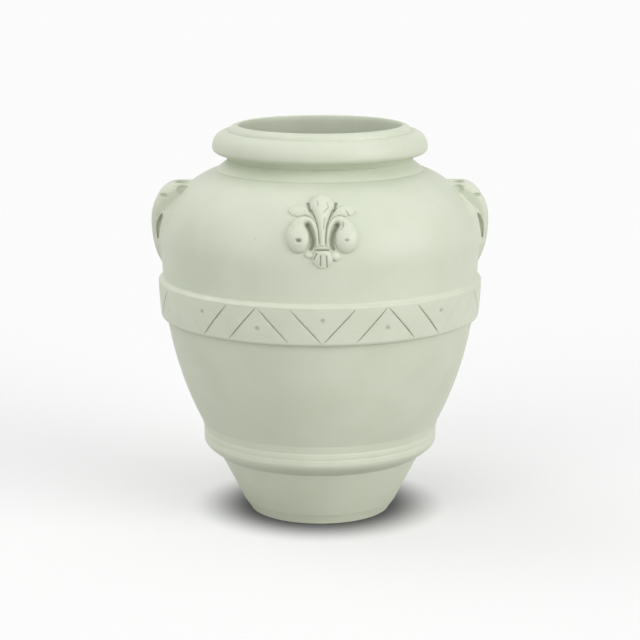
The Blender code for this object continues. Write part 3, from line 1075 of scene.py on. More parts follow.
@dataclass(frozen=True)
class Mark:
    """One hollow that an egg-shaped tool leaves, and how much painted shade it gets."""

    centre: tuple[float, float, float]
    sizes: tuple[float, float, float]
    # share of painted shade in the hollow
    painted_shade: float

    FADE_END = 1.4  # where the shade has gone, in half sizes of the egg
    FADE = 0.4  # length over which it goes

    def shade(self, point: Vector) -> float:
        """Painted shade at a point, which fades out just beyond the edge of the hollow."""
        reach = math.hypot(*((p - c) / size for p, c, size in zip(point, self.centre, self.sizes)))
        return self.painted_shade * clamp((self.FADE_END - reach) / self.FADE)

    def egg(self, face: int) -> Piece:
        """Builds the tool, on the cheek that lies on one side along Y."""
        across, along, up = self.centre
        return Bench.egg("mark", (across, face * along, up), self.sizes)


@dataclass
class EarHandle:
    """Ear lug luted to the shoulder, hollowed on its crown and on both cheeks."""

    form: JarForm
    reach: float = 0.0145
    crown: float = 0.039
    crown_rise: float = 0.0345
    toe: float = 0.005
    root: float = 0.030
    width_top: float = 0.062
    width_bottom: float = 0.040
    rounding: float = 0.0105
    flare_out: float = 0.010
    flare_run: float = 0.040
    flare_fade: float = 0.030
    flare_top: float = 0.500
    # last value of each mark: share of painted shade in its hollow
    slit: Mark = Mark((0.2447, 0.0266, 0.4476), (0.0044, 0.0058, 0.0225), 0.10)
    slit_lean: float = math.radians(9.6)
    slit_curl: float = 0.0043
    marks: tuple[Mark, ...] = (
        Mark((0.2392, 0.0285, 0.4950), (0.0075, 0.0052, 0.0028), 0.0),
        Mark((0.2085, 0.0335, 0.5060), (0.0095, 0.0095, 0.0085), 0.12),
    )
    groove: Mark = Mark((0.2200, 0.0310, 0.5085), (0.0150, 0.0045, 0.0016), 0.0)
    crown_dish_inset: float = 0.011
    crown_dish_lift: float = 0.0015
    crown_dish_sizes: tuple[float, float, float] = (0.013, 0.018, 0.0145)
    grain: float = 0.0009
    bed: float = 0.0005
    bed_depth: float = 0.006
    bed_below: float = 0.012
    bed_above: float = 0.010
    collar_gap: float = 0.002
    bed_grid: tuple[int, int] = (120, 90)
    core_below: float = 0.030
    core_inset: float = 0.0004
    core_steps: tuple[int, int] = (12, 40)
    crown_steps: int = 16
    front_steps: int = 14
    rounding_steps: int = 6
    first_rounds: int = 8
    last_rounds: int = 3
    sharp: float = 60.0

    def __post_init__(self) -> None:
        """Takes the height of the ear from the frame."""
        low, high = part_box("right_handle")
        self.bottom, self.top = low.z, high.z

    def outline(self) -> Profile:
        """Draws the side view of the ear, from its root over the crown to its toe.

        Returns:
            Points of the side view as (radius, height).
        """
        form = self.form
        reach = form.widest_radius + self.reach
        crown_z = form.widest_z + self.crown_rise
        foot = form.outer(self.bottom)
        toe = (foot + self.toe, self.bottom + 2 * self.toe)
        control = (reach, (crown_z + self.bottom) / 2)
        return [
            (form.outer(self.top) - self.root, self.top),
            *ellipse_arc(
                (reach - self.crown, crown_z), (self.crown, self.top - crown_z), (90, 0),
                self.crown_steps,
            ),
            *quadratic(((reach, crown_z), control, toe), self.front_steps)[1:],
            (foot, self.bottom),
            (foot - self.root, self.bottom),
        ]

    def half_width(self, z: float) -> float:
        """Half the width of the ear at a height."""
        share = (z - self.bottom) / (self.top - self.bottom)
        return (self.width_bottom + (self.width_top - self.width_bottom) * share) / 2

    def blank(self) -> Piece:
        """Draws the side view out to the width of the ear and rounds its rim.

        Returns:
            The plain ear.
        """
        piece = Bench.draw("right_ear", self.outline())
        bpy.ops.mesh.edge_face_add()
        bpy.ops.transform.translate(value=(0, -1, 0))
        bpy.ops.mesh.extrude_region_move(TRANSFORM_OT_translate={"value": (0, 2, 0)})
        clay = bmesh.from_edit_mesh(piece.data)
        for vertex in clay.verts:
            vertex.co.y *= self.half_width(vertex.co.z)
        bpy.ops.mesh.select_mode(type="EDGE")
        bpy.ops.mesh.select_all(action="DESELECT")
        clay = bmesh.from_edit_mesh(piece.data)
        for edge in clay.edges:
            edge.select_set(edge.verts[0].co.y * edge.verts[1].co.y > 0)
        clay.select_flush_mode()
        bpy.ops.mesh.bevel(
            offset=self.rounding, segments=self.rounding_steps, profile=0.5, affect="EDGES"
        )
        bpy.ops.mesh.select_mode(type="VERT")
        Bench.close()
        return piece

    def flare(self, along: float, z: float) -> float:
        """Height of the clay that is rubbed from the wall up against the cheek.

        Args:
            along: Distance from the middle of the ear along Y.
            z: Height on the jar.

        Returns:
            How far the clay stands off the wall.
        """
        foot = clamp((z - self.bottom) / self.flare_fade)
        head = clamp((self.flare_top - z) / self.flare_fade)
        away = max(0.0, abs(along) - self.half_width(z))
        near = max(0.0, 1 - away / self.flare_run)
        return self.flare_out * (foot * head) ** 2 * near**3

    def patch(self) -> Piece:
        """Builds the slip bed of the ear, rubbed up against both cheeks.

        Returns:
            The bed, as a thick skin.
        """
        Bench.clear()
        columns, rows = self.bed_grid
        bpy.ops.mesh.primitive_grid_add(x_subdivisions=columns, y_subdivisions=rows, size=2)
        piece = Bench.named("slip_bed")
        half = self.width_top / 2 + self.flare_run
        low = self.bottom - self.bed_below
        high = min(self.top + self.bed_above, self.form.collar_z - self.collar_gap)
        for vertex in piece.data.vertices:
            z = low + (high - low) * (vertex.co.y + 1) / 2
            wall = self.form.outer(z) - self.bed
            turn = half * vertex.co.x / wall
            radius = wall + self.flare(wall * math.sin(turn), z)
            vertex.co = (radius * math.cos(turn), radius * math.sin(turn), z)
        bpy.ops.object.mode_set(mode="EDIT")
        Bench.close()
        inward = piece.data.polygons[0].normal.x > 0
        Bench.apply(
            piece, "SOLIDIFY", thickness=self.bed_depth, offset=-1.0 if inward else 1.0
        )
        return piece

    def core(self) -> Piece:
        """Turns the body of the jar, which trims the ear where the wall begins.

        Returns:
            The body, as a cutter.
        """
        form = self.form
        low = self.bottom - self.core_below
        climb = math.degrees(form.shoulder_climb)
        upright, shoulder = self.core_steps
        outline = [
            (form.core_radius / 2, low),
            *form.line(form.outer, (low, form.widest_z), upright)[:-1],
            *form.shoulder_line(0, (0, climb), shoulder),
            (form.core_radius / 2, form.collar_z),
        ]
        inset = [(radius - self.core_inset, z) for radius, z in outline]
        return Bench.turn("jar_core", inset)

    def slit_bend(self, up: float) -> float:
        """How far the slit swings out of its middle line, at a height above its middle."""
        share = up / self.slit.sizes[2]
        return -up * math.tan(self.slit_lean) - self.slit_curl * share * share

    def slit_egg(self, face: int) -> Piece:
        """Builds the tool of the curled slit.

        Args:
            face: Side along Y, -1 or 1, of the cheek that it is for.

        Returns:
            The tool.
        """
        tool = self.slit.egg(face)
        for vertex in tool.data.vertices:
            vertex.co.x += self.slit_bend(vertex.co.z - self.slit.centre[2])
        return tool

    def shade_at(self, point: Vector) -> float:
        """Painted shade in the hollows of either cheek.

        Args:
            point: A point of the ear.

        Returns:
            The shade at that point.
        """
        spot = Vector((point.x, abs(point.y), point.z))
        bend = self.slit_bend(point.z - self.slit.centre[2])
        straight = Vector((point.x - bend, abs(point.y), point.z))
        shades = [mark.shade(spot) for mark in (*self.marks, self.groove)]
        return max(*shades, self.slit.shade(straight))

    def build(self) -> tuple[Piece, Piece]:
        """Builds the right ear and copies it to the left.

        Returns:
            The left and the right ear.
        """
        ear = self.blank()
        crown_radius = self.form.outer(self.top) + self.crown_dish_inset
        crown = (crown_radius, 0, self.top + self.crown_dish_lift)
        Bench.cut(ear, Bench.egg("crown_dish", crown, self.crown_dish_sizes))
        ear = Bench.join([ear, self.patch()])
        Bench.knead(ear, self.grain, self.first_rounds)
        tools = [mark.egg(face) for face in (-1, 1) for mark in self.marks]
        tools += [self.slit_egg(face) for face in (-1, 1)]
        Bench.cut(ear, Bench.join(tools))
        Bench.cut(ear, Bench.join([self.groove.egg(face) for face in (-1, 1)]))
        Bench.knead(ear, self.grain, self.last_rounds)
        Bench.cut(ear, self.core())
        # painted shade in the slit and hollows of both cheeks
        Recess.mark(ear, self.shade_at, 1.0)
        Bench.smooth(ear, self.sharp)
        return Bench.mirrored(ear, "left_ear"), ear


@dataclass
class Sprig:
    """One flat piece of the lily: domed strips and eggs of clay that are kneaded together."""

    name: str
    strips: Sequence[Sequence[Station]] = ()
    eggs: Sequence[Egg] = ()
    steps: int = 6
    facets: int = 14
    sink: float = 0.004
    bed_margin: float = 0.005
    bed_thickness: float = 0.0052
    bed_depth: float = 0.0032
    cut_depth: float = 0.0002

    def strip(self, stations: Sequence[Station]) -> Piece:
        """Builds one domed strip that follows its stations.

        Args:
            stations: Rows of (across, up, half width, height).

        Returns:
            The strip, flat, facing -Y.
        """
        path = smooth_row(stations, self.steps)
        turns = [math.pi * k / self.facets for k in range(self.facets + 1)]
        loops = []
        for i, (across, up, half, height) in enumerate(path):
            along = (path[min(i + 1, len(path) - 1)] - path[max(i - 1, 0)]).to_2d().normalized()
            top = [(half * math.cos(t), height * math.sin(t)) for t in turns]
            back = [(-half, -self.sink), (half, -self.sink)]
            loops.append([
                Vector((across - along.y * offset, -lift, up + along.x * offset))
                for offset, lift in top + back
            ])
        return Bench.loft(self.name, loops)

    def egg(self, egg: Egg) -> Piece:
        """Builds one half-sunk egg of the piece, from (across, up, wide, tall, height)."""
        across, up, wide, tall, height = egg
        return Bench.egg(self.name, (across, 0, up), (wide, height, tall))

    def bed(self) -> Piece:
        """Builds the slab of slip that the piece lies on, just under the face of the wall.

        Returns:
            The slab, larger all round than the piece.
        """
        margin = self.bed_margin
        spots = [(s[0], s[1], s[2]) for strip in self.strips for s in strip]
        spots += [(e[0], e[1], max(e[2], e[3])) for e in self.eggs]
        low_x = min(x - r for x, _, r in spots) - margin
        high_x = max(x + r for x, _, r in spots) + margin
        low_z = min(z - r for _, z, r in spots) - margin
        high_z = max(z + r for _, z, r in spots) + margin
        Bench.clear()
        bpy.ops.mesh.primitive_cube_add(size=1)
        piece = Bench.named("slip_bed")
        bpy.ops.object.mode_set(mode="EDIT")
        bpy.ops.transform.resize(value=(high_x - low_x, self.bed_thickness, high_z - low_z))
        middle = ((low_x + high_x) / 2, self.bed_depth, (low_z + high_z) / 2)
        bpy.ops.transform.translate(value=middle)
        Bench.close()
        return piece

    def blank(self, grain: float, rounds: int) -> Piece:
        """Kneads the strips and eggs into one piece with a soft foot.

        Args:
            grain: Width of one cell of its skin.
            rounds: How often it is smoothed.

        Returns:
            The flat piece, cut off at the face of the wall.
        """
        parts = [self.strip(stations) for stations in self.strips]
        parts += [self.egg(egg) for egg in self.eggs]
        piece = Bench.join([*parts, self.bed()])
        Bench.knead(piece, grain, rounds)
        bpy.ops.object.mode_set(mode="EDIT")
        bpy.ops.mesh.select_all(action="SELECT")
        bpy.ops.mesh.bisect(
            plane_co=(0, self.cut_depth, 0), plane_no=(0, 1, 0), use_fill=True, clear_outer=True
        )
        Bench.close()
        return Bench.join([piece])


@dataclass
class LilyRelief:
    """Lily sprig on the front of the shoulder, pressed from nine pieces of clay."""

    form: JarForm
    rise: float = 0.0498
    grain: float = 0.0007
    rounds: int = 4
    bud_rounds: int = 3
    sharp: float = 70.0
    petal: tuple[Station, ...] = (
        (0, 0.0650, 0.0025, 0.003), (0, 0.0615, 0.0095, 0.0066), (0, 0.0550, 0.0150, 0.0095),
        (0, 0.0465, 0.0176, 0.0114), (0, 0.0380, 0.0166, 0.0118), (0, 0.0290, 0.0128, 0.0113),
        (0, 0.0180, 0.0088, 0.0106), (0, 0.0080, 0.0064, 0.0100), (0, -0.0040, 0.0048, 0.0094),
        (0, -0.0200, 0.0042, 0.0086),
    )
    strand: tuple[Station, ...] = (
        (0.0070, -0.0215, 0.0025, 0.0082), (0.0075, -0.0105, 0.0027, 0.0088),
        (0.0098, 0.0045, 0.0038, 0.0090), (0.0138, 0.0130, 0.0044, 0.0094),
        (0.0195, 0.0174, 0.0058, 0.0098), (0.0272, 0.0162, 0.0078, 0.0100),
        (0.0345, 0.0095, 0.0096, 0.0100), (0.0388, 0.0000, 0.0098, 0.0096),
    )
    ball: Egg = (0.0345, -0.0078, 0.0174, 0.0230, 0.0120)
    # valley beside the ball, darkened with painted shade
    valley: tuple[Station, ...] = (
        (0.0170, -0.0255, 0.0022, 0.0012), (0.0143, -0.0190, 0.0032, 0.0012),
        (0.0133, -0.0105, 0.0036, 0.0012), (0.0158, 0.0000, 0.0038, 0.0012),
        (0.0208, 0.0100, 0.0030, 0.0012),
    )
    leaf: tuple[Station, ...] = (
        (0.0090, 0.0140, 0.0014, 0.0052), (0.0128, 0.0205, 0.0020, 0.0050),
        (0.0180, 0.0266, 0.0036, 0.0052), (0.0255, 0.0322, 0.0080, 0.0056),
        (0.0340, 0.0345, 0.0108, 0.0054), (0.0410, 0.0325, 0.0086, 0.0044),
        (0.0452, 0.0290, 0.0050, 0.0030),
    )
    # low strip beside the petal that mainly carries painted shade
    pocket_shade: tuple[Station, ...] = (
        (0.0152, 0.0345, 0.0022, 0.0010), (0.0184, 0.0420, 0.0036, 0.0010),
        (0.0208, 0.0500, 0.0030, 0.0010),
    )
    webbing: tuple[Station, ...] = (
        (0, 0.0200, 0.0120, 0.0062), (0, 0.0060, 0.0098, 0.0064), (0, -0.0210, 0.0088, 0.0064),
    )
    tie: tuple[Station, ...] = (
        (-0.0104, -0.0232, 0.0020, 0.0050), (-0.0070, -0.0230, 0.0027, 0.0074),
        (0, -0.0229, 0.0029, 0.0081), (0.0070, -0.0230, 0.0027, 0.0074),
        (0.0104, -0.0232, 0.0020, 0.0050),
    )
    tail: tuple[Station, ...] = (
        (0, -0.0262, 0.0092, 0.0076), (0, -0.0320, 0.0128, 0.0070), (0, -0.0390, 0.0158, 0.0058),
        (0, -0.0455, 0.0132, 0.0044), (0, -0.0515, 0.0066, 0.0028),
    )
    right_bud: Egg = (0.0180, -0.0348, 0.0082, 0.0074, 0.0046)
    left_bud: Egg = (-0.0190, -0.0326, 0.0066, 0.0048, 0.0034)
    eye: tuple[float, float] = (0.0331, -0.0133)
    eye_run: float = 0.0014
    petal_vein: Path = ((0.0034, 0.0185), (0.0022, 0.0115), (0.0016, 0.0030))
    petal_scratches: tuple[Path, ...] = (
        ((-0.0070, 0.0450), (-0.0055, 0.0370)),
        ((0.0068, 0.0420), (0.0086, 0.0350), (0.0020, 0.0262)),
    )
    petal_edge: Path = ((0.0148, 0.0345), (0.0102, 0.0225), (0.0070, 0.0110), (0.0048, -0.0150))
    tail_crease: Path = ((-0.0085, -0.0266), (0.0085, -0.0266))
    tail_flutes: tuple[Path, ...] = (
        ((-0.0082, -0.0310), (-0.0122, -0.0390)),
        ((-0.0026, -0.0340), (-0.0030, -0.0478)),
        ((0.0055, -0.0340), (0.0066, -0.0500)),
    )
    leaf_ridges: tuple[Path, ...] = (
        ((0.0116, 0.0170), (0.0180, 0.0240), (0.0250, 0.0262)),
        ((0.0150, 0.0236), (0.0200, 0.0290), (0.0260, 0.0322)),
    )
    curl_crack: Path = ((0.0288, 0.0120), (0.0290, 0.0070), (0.0258, 0.0025))
    leaf_nick: Path = ((0.0335, 0.0320), (0.0375, 0.0262))
    bud_notch: Path = ((0.0158, -0.0402), (0.0168, -0.0412))

    # third value of each tool: share of painted shade it leaves; VALLEY_SHADE presses nothing and
    # only paints shade
    VEIN = Stylus(0.0008, 0.0012, 0.6)
    SCRATCH = Stylus(0.0007, 0.0008, 0.6)
    EDGE = Stylus(0.0008, 0.0012, 0.7)
    CREASE = Stylus(0.0007, 0.0008, 0.22)
    FLUTE = Stylus(0.0008, 0.0022, 0.6)
    VALLEY_SHADE = Stylus(0.0036, 0.0, 1.0)
    RIDGE = Stylus(0.0008, 0.0008, 0.28)
    CRACK = Stylus(0.0008, 0.0010, 0.7)
    NICK = Stylus(0.0009, 0.0010, 0.7)
    NOTCH = Stylus(0.0012, 0.0016, 0.6)
    EYES = {Side.LEFT: Stylus(0.0021, 0.0045, 0.85), Side.RIGHT: Stylus(0.0015, 0.0026, 0.6)}

    def __post_init__(self) -> None:
        """Works out how the flat lily goes round the shoulder."""
        self.mean = (self.form.shoulder_depth + self.form.shoulder_height) / 2
        self.climb = math.asin(self.rise / self.form.shoulder_height)

    def place(self, across: float, up: float, lift: float) -> Vector:
        """Finds a point on the shoulder.

        Args:
            across: Distance round the shoulder from the middle of the lily.
            up: Distance up along the shoulder from its middle.
            lift: Distance out from the wall.

        Returns:
            The point.
        """
        form = self.form
        climb = self.climb + up / self.mean
        outward = Vector((
            math.cos(climb) / form.shoulder_depth, math.sin(climb) / form.shoulder_height
        )).normalized()
        wall = form.core_radius + form.shoulder_depth * math.cos(climb)
        radius = wall + lift * outward.x
        return Vector((
            radius * math.sin(across / wall),
            -radius * math.cos(across / wall),
            form.widest_z + form.shoulder_height * math.sin(climb) + lift * outward.y,
        ))

    def lay(self, piece: Piece) -> Piece:
        """Bends a flat piece round the shoulder.

        Args:
            piece: The flat piece.

        Returns:
            The same piece.
        """
        for vertex in piece.data.vertices:
            vertex.co = self.place(vertex.co.x, vertex.co.z, -vertex.co.y)
        piece.data.update()
        Bench.smooth(piece, self.sharp)
        return piece

    def centre(self) -> dict[str, Piece]:
        """Builds the pieces on the middle line: petal, tie and tail.

        Returns:
            The pieces, by node.
        """
        petal = Sprig("petal_sprig", [self.petal, self.webbing]).blank(self.grain, self.rounds)
        self.VEIN.press(petal, self.petal_vein)
        for scratch in self.petal_scratches:
            self.SCRATCH.press(petal, scratch)
        for side in Side:
            self.EDGE.press(petal, [(side.value * across, up) for across, up in self.petal_edge])
        tie = Sprig("tie_sprig", [self.tie]).blank(self.grain, self.rounds)
        tail = Sprig("tail_sprig", [self.tail]).blank(self.grain, self.rounds)
        self.CREASE.press(tail, self.tail_crease)
        for flute in self.tail_flutes:
            self.FLUTE.press(tail, flute)
        pieces = {"lily_centre_petal": petal, "lily_tie": tie, "lily_tail": tail}
        return {node: self.lay(piece) for node, piece in pieces.items()}

    def pairs(self) -> dict[str, Piece]:
        """Builds the pieces that stand on both sides: curls and leaves.

        Returns:
            The pieces, by node.
        """
        strips = [self.strand, self.valley]
        curl = Sprig("right_curl_sprig", strips, [self.ball]).blank(self.grain, self.rounds)
        leaf = Sprig("right_leaf_sprig", [self.leaf, self.pocket_shade]).blank(self.grain, self.rounds)
        self.VALLEY_SHADE.press(curl, [(x, up) for x, up, _, _ in self.valley])
        self.VALLEY_SHADE.press(leaf, [(x, up) for x, up, _, _ in self.pocket_shade])
        for ridge in self.leaf_ridges:
            self.RIDGE.press(leaf, ridge)
        left_curl = Bench.mirrored(curl, "left_curl_sprig")
        self.press_eye(left_curl, Side.LEFT)
        self.press_eye(curl, Side.RIGHT)
        self.CRACK.press(curl, self.curl_crack)
        left_leaf = Bench.mirrored(leaf, "left_leaf_sprig")
        self.NICK.press(leaf, self.leaf_nick)
        pieces = {
            "lily_left_curl": left_curl, "lily_right_curl": curl,
            "lily_left_leaf": left_leaf, "lily_right_leaf": leaf,
        }
        return {node: self.lay(piece) for node, piece in pieces.items()}

    def buds(self) -> dict[str, Piece]:
        """Builds the two buds beside the tail, of which the right one is the larger.

        Returns:
            The buds, by node.
        """
        left = Sprig("left_bud_sprig", [], [self.left_bud]).blank(self.grain, self.bud_rounds)
        right = Sprig("right_bud_sprig", [], [self.right_bud]).blank(self.grain, self.bud_rounds)
        self.NOTCH.press(right, self.bud_notch)
        return {"lily_left_bud": self.lay(left), "lily_right_bud": self.lay(right)}

    def press_eye(self, curl: Piece, side: Side) -> None:
        """Presses the eye of a curl, which is deeper on the left.

        Args:
            curl: The flat curl.
            side: Its side of the jar.
        """
        across, up = self.eye
        ends = (across - self.eye_run, across + self.eye_run)
        self.EYES[side].press(curl, [(side.value * end, up) for end in ends])

    def build(self) -> dict[str, Piece]:
        """Builds all the pieces, by the node that each stands for."""
        return {**self.centre(), **self.pairs(), **self.buds()}


@dataclass(frozen=True)
class ClayCoat:
    """Satin coat on fired clay: soft mottling, throwing lines, fine grain and a few pits."""

    name: str
    colour: tuple[float, float, float]
    pale: tuple[float, float, float]
    # colour of full painted shade in recesses and pits
    shade: tuple[float, float, float]
    roughness: float = 0.46
    roughness_play: float = 0.10
    mottle_scale: float = 11.0
    mottle_detail: float = 5.0
    mottle_range: tuple[float, float] = (0.32, 0.68)
    ring_pitch: float = 0.0085
    ring_height: float = 0.00010
    ring_detail: float = 2.0
    wobble_scale: float = 3.0
    wobble: float = 1.2
    grain_scale: float = 620.0
    grain_height: float = 0.00005
    grain_detail: float = 3.0
    pit_scale: float = 42.0
    pit_height: float = 0.0002
    pit_edge: tuple[float, float] = (0.10, 0.03)
    pit_rarity: float = 0.96
    # share of painted shade in a pit
    pit_shade: float = 0.3

    def build(self) -> bpy.types.Material:
        """Makes the material.

        Returns:
            The material.
        """
        material = bpy.data.materials.new(self.name)
        material.use_nodes = True
        tree = material.node_tree
        shader = tree.nodes["Principled BSDF"]
        place = tree.nodes.new("ShaderNodeTexCoord").outputs["Object"]
        mottle = self.noise(tree, place, self.mottle_scale, self.mottle_detail)
        pits = self.pits(tree, place)
        self.colouring(tree, shader, mottle, pits)
        spread = tree.nodes.new("ShaderNodeMapRange")
        spread.inputs["To Min"].default_value = self.roughness - self.roughness_play / 2
        spread.inputs["To Max"].default_value = self.roughness + self.roughness_play / 2
        tree.links.new(mottle, spread.inputs["Value"])
        tree.links.new(spread.outputs["Result"], shader.inputs["Roughness"])
        self.relief(tree, shader, place, pits)
        return material

    @staticmethod
    def noise(tree: Tree, place: Socket, scale: float, detail: float) -> Socket:
        """Adds a soft noise in the jar's own space.

        Args:
            tree: Nodes of the material.
            place: Place on the jar.
            scale: How many waves go into a metre.
            detail: How many finer waves are added.

        Returns:
            The noise, from 0 to 1.
        """
        node = tree.nodes.new("ShaderNodeTexNoise")
        node.inputs["Scale"].default_value = scale
        node.inputs["Detail"].default_value = detail
        tree.links.new(place, node.inputs["Vector"])
        return node.outputs["Fac"]

    @staticmethod
    def ramp(tree: Tree, value: Socket, low: float, high: float) -> Socket:
        """Adds a smooth step.

        Args:
            tree: Nodes of the material.
            value: Value that is stepped.
            low: Value at which the step is 0.
            high: Value at which it is 1.

        Returns:
            The step.
        """
        node = tree.nodes.new("ShaderNodeMapRange")
        node.interpolation_type = "SMOOTHSTEP"
        node.inputs["From Min"].default_value = low
        node.inputs["From Max"].default_value = high
        tree.links.new(value, node.inputs["Value"])
        return node.outputs["Result"]

    @staticmethod
    def combine(tree: Tree, kind: str, one: Socket, other: Socket | float) -> Socket:
        """Adds one step of arithmetic.

        Args:
            tree: Nodes of the material.
            kind: The operation.
            one: First value.
            other: Second value, or a number.

        Returns:
            The result.
        """
        node = tree.nodes.new("ShaderNodeMath")
        node.operation = kind
        tree.links.new(one, node.inputs[0])
        if isinstance(other, Socket):
            tree.links.new(other, node.inputs[1])
        else:
            node.inputs[1].default_value = other
        return node.outputs["Value"]

    def pits(self, tree: Tree, place: Socket) -> Socket:
        """Adds a few small pits, where grit came out of the clay.

        Args:
            tree: Nodes of the material.
            place: Place on the jar.

        Returns:
            How deep a place lies in a pit, from 0 up, which also sets its painted shade.
        """
        cells = tree.nodes.new("ShaderNodeTexVoronoi")
        cells.inputs["Scale"].default_value = self.pit_scale
        tree.links.new(place, cells.inputs["Vector"])
        near = self.ramp(tree, cells.outputs["Distance"], *self.pit_edge)
        split = tree.nodes.new("ShaderNodeSeparateColor")
        tree.links.new(cells.outputs["Color"], split.inputs["Color"])
        chosen = self.combine(tree, "GREATER_THAN", split.outputs["Red"], self.pit_rarity)
        depth = self.combine(tree, "MULTIPLY", chosen, self.pit_shade)
        return self.combine(tree, "MULTIPLY", near, depth)

    def colouring(
        self, tree: Tree, shader: bpy.types.Node, mottle: Socket, pits: Socket
    ) -> None:
        """Mixes the coat's tones: mottled all over, with painted shade in recesses and pits.

        Args:
            tree: Nodes of the material.
            shader: Shader that takes the colour.
            mottle: Soft noise over the whole jar.
            pits: Depth of the pits, which also sets their painted shade.
        """
        tones = tree.nodes.new("ShaderNodeMix")
        tones.data_type = "RGBA"
        tones.inputs["A"].default_value = (*self.colour, 1)
        tones.inputs["B"].default_value = (*self.pale, 1)
        tree.links.new(self.ramp(tree, mottle, *self.mottle_range), tones.inputs["Factor"])
        recess = tree.nodes.new("ShaderNodeAttribute")
        recess.attribute_name = Recess.NAME
        # painted shade in recesses and pits
        deep = self.combine(tree, "MAXIMUM", recess.outputs["Fac"], pits)
        deeper = tree.nodes.new("ShaderNodeMix")
        deeper.data_type = "RGBA"
        deeper.inputs["B"].default_value = (*self.shade, 1)
        tree.links.new(tones.outputs["Result"], deeper.inputs["A"])
        tree.links.new(deep, deeper.inputs["Factor"])
        tree.links.new(deeper.outputs["Result"], shader.inputs["Base Color"])

    def relief(self, tree: Tree, shader: bpy.types.Node, place: Socket, pits: Socket) -> None:
        """Adds the fine relief of the surface: throwing lines, grain and pits.

        Args:
            tree: Nodes of the material.
            shader: Shader that takes the relief.
            place: Place on the jar.
            pits: Depth of the pits.
        """
        split = tree.nodes.new("ShaderNodeSeparateXYZ")
        tree.links.new(place, split.inputs["Vector"])
        waves = self.noise(tree, place, self.wobble_scale, self.ring_detail)
        wobble = self.combine(tree, "MULTIPLY", waves, self.wobble)
        height = self.combine(tree, "MULTIPLY", split.outputs["Z"], 1 / self.ring_pitch)
        rings = tree.nodes.new("ShaderNodeTexNoise")
        rings.noise_dimensions = "1D"
        rings.inputs["Scale"].default_value = 1.0
        rings.inputs["Detail"].default_value = self.ring_detail
        tree.links.new(self.combine(tree, "ADD", height, wobble), rings.inputs["W"])
        grain = self.noise(tree, place, self.grain_scale, self.grain_detail)
        normal = None
        steps = (
            (rings.outputs["Fac"], self.ring_height, False),
            (grain, self.grain_height, False),
            (pits, self.pit_height, True),
        )
        for value, distance, sunk in steps:
            bump = tree.nodes.new("ShaderNodeBump")
            bump.inputs["Strength"].default_value = 1.0
            bump.inputs["Distance"].default_value = distance
            bump.invert = sunk
            tree.links.new(value, bump.inputs["Height"])
            if normal is not None:
                tree.links.new(normal, bump.inputs["Normal"])
            normal = bump.outputs["Normal"]
        tree.links.new(normal, shader.inputs["Normal"])


@dataclass(frozen=True)
class Lamp:
    """One broad, even light: where it shines to, how strongly, and how wide its source is."""

    name: str
    aim: tuple[float, float, float]
    strength: float
    spread: float  # degrees

    def hang(self) -> None:
        """Adds the lamp to the scene."""
        bpy.ops.object.light_add(type="SUN")
        lamp = bpy.context.object
        lamp.name = self.name
        lamp.rotation_euler = Vector(self.aim).to_track_quat("-Z", "Y").to_euler()
        lamp.data.energy = self.strength
        lamp.data.angle = math.radians(self.spread)


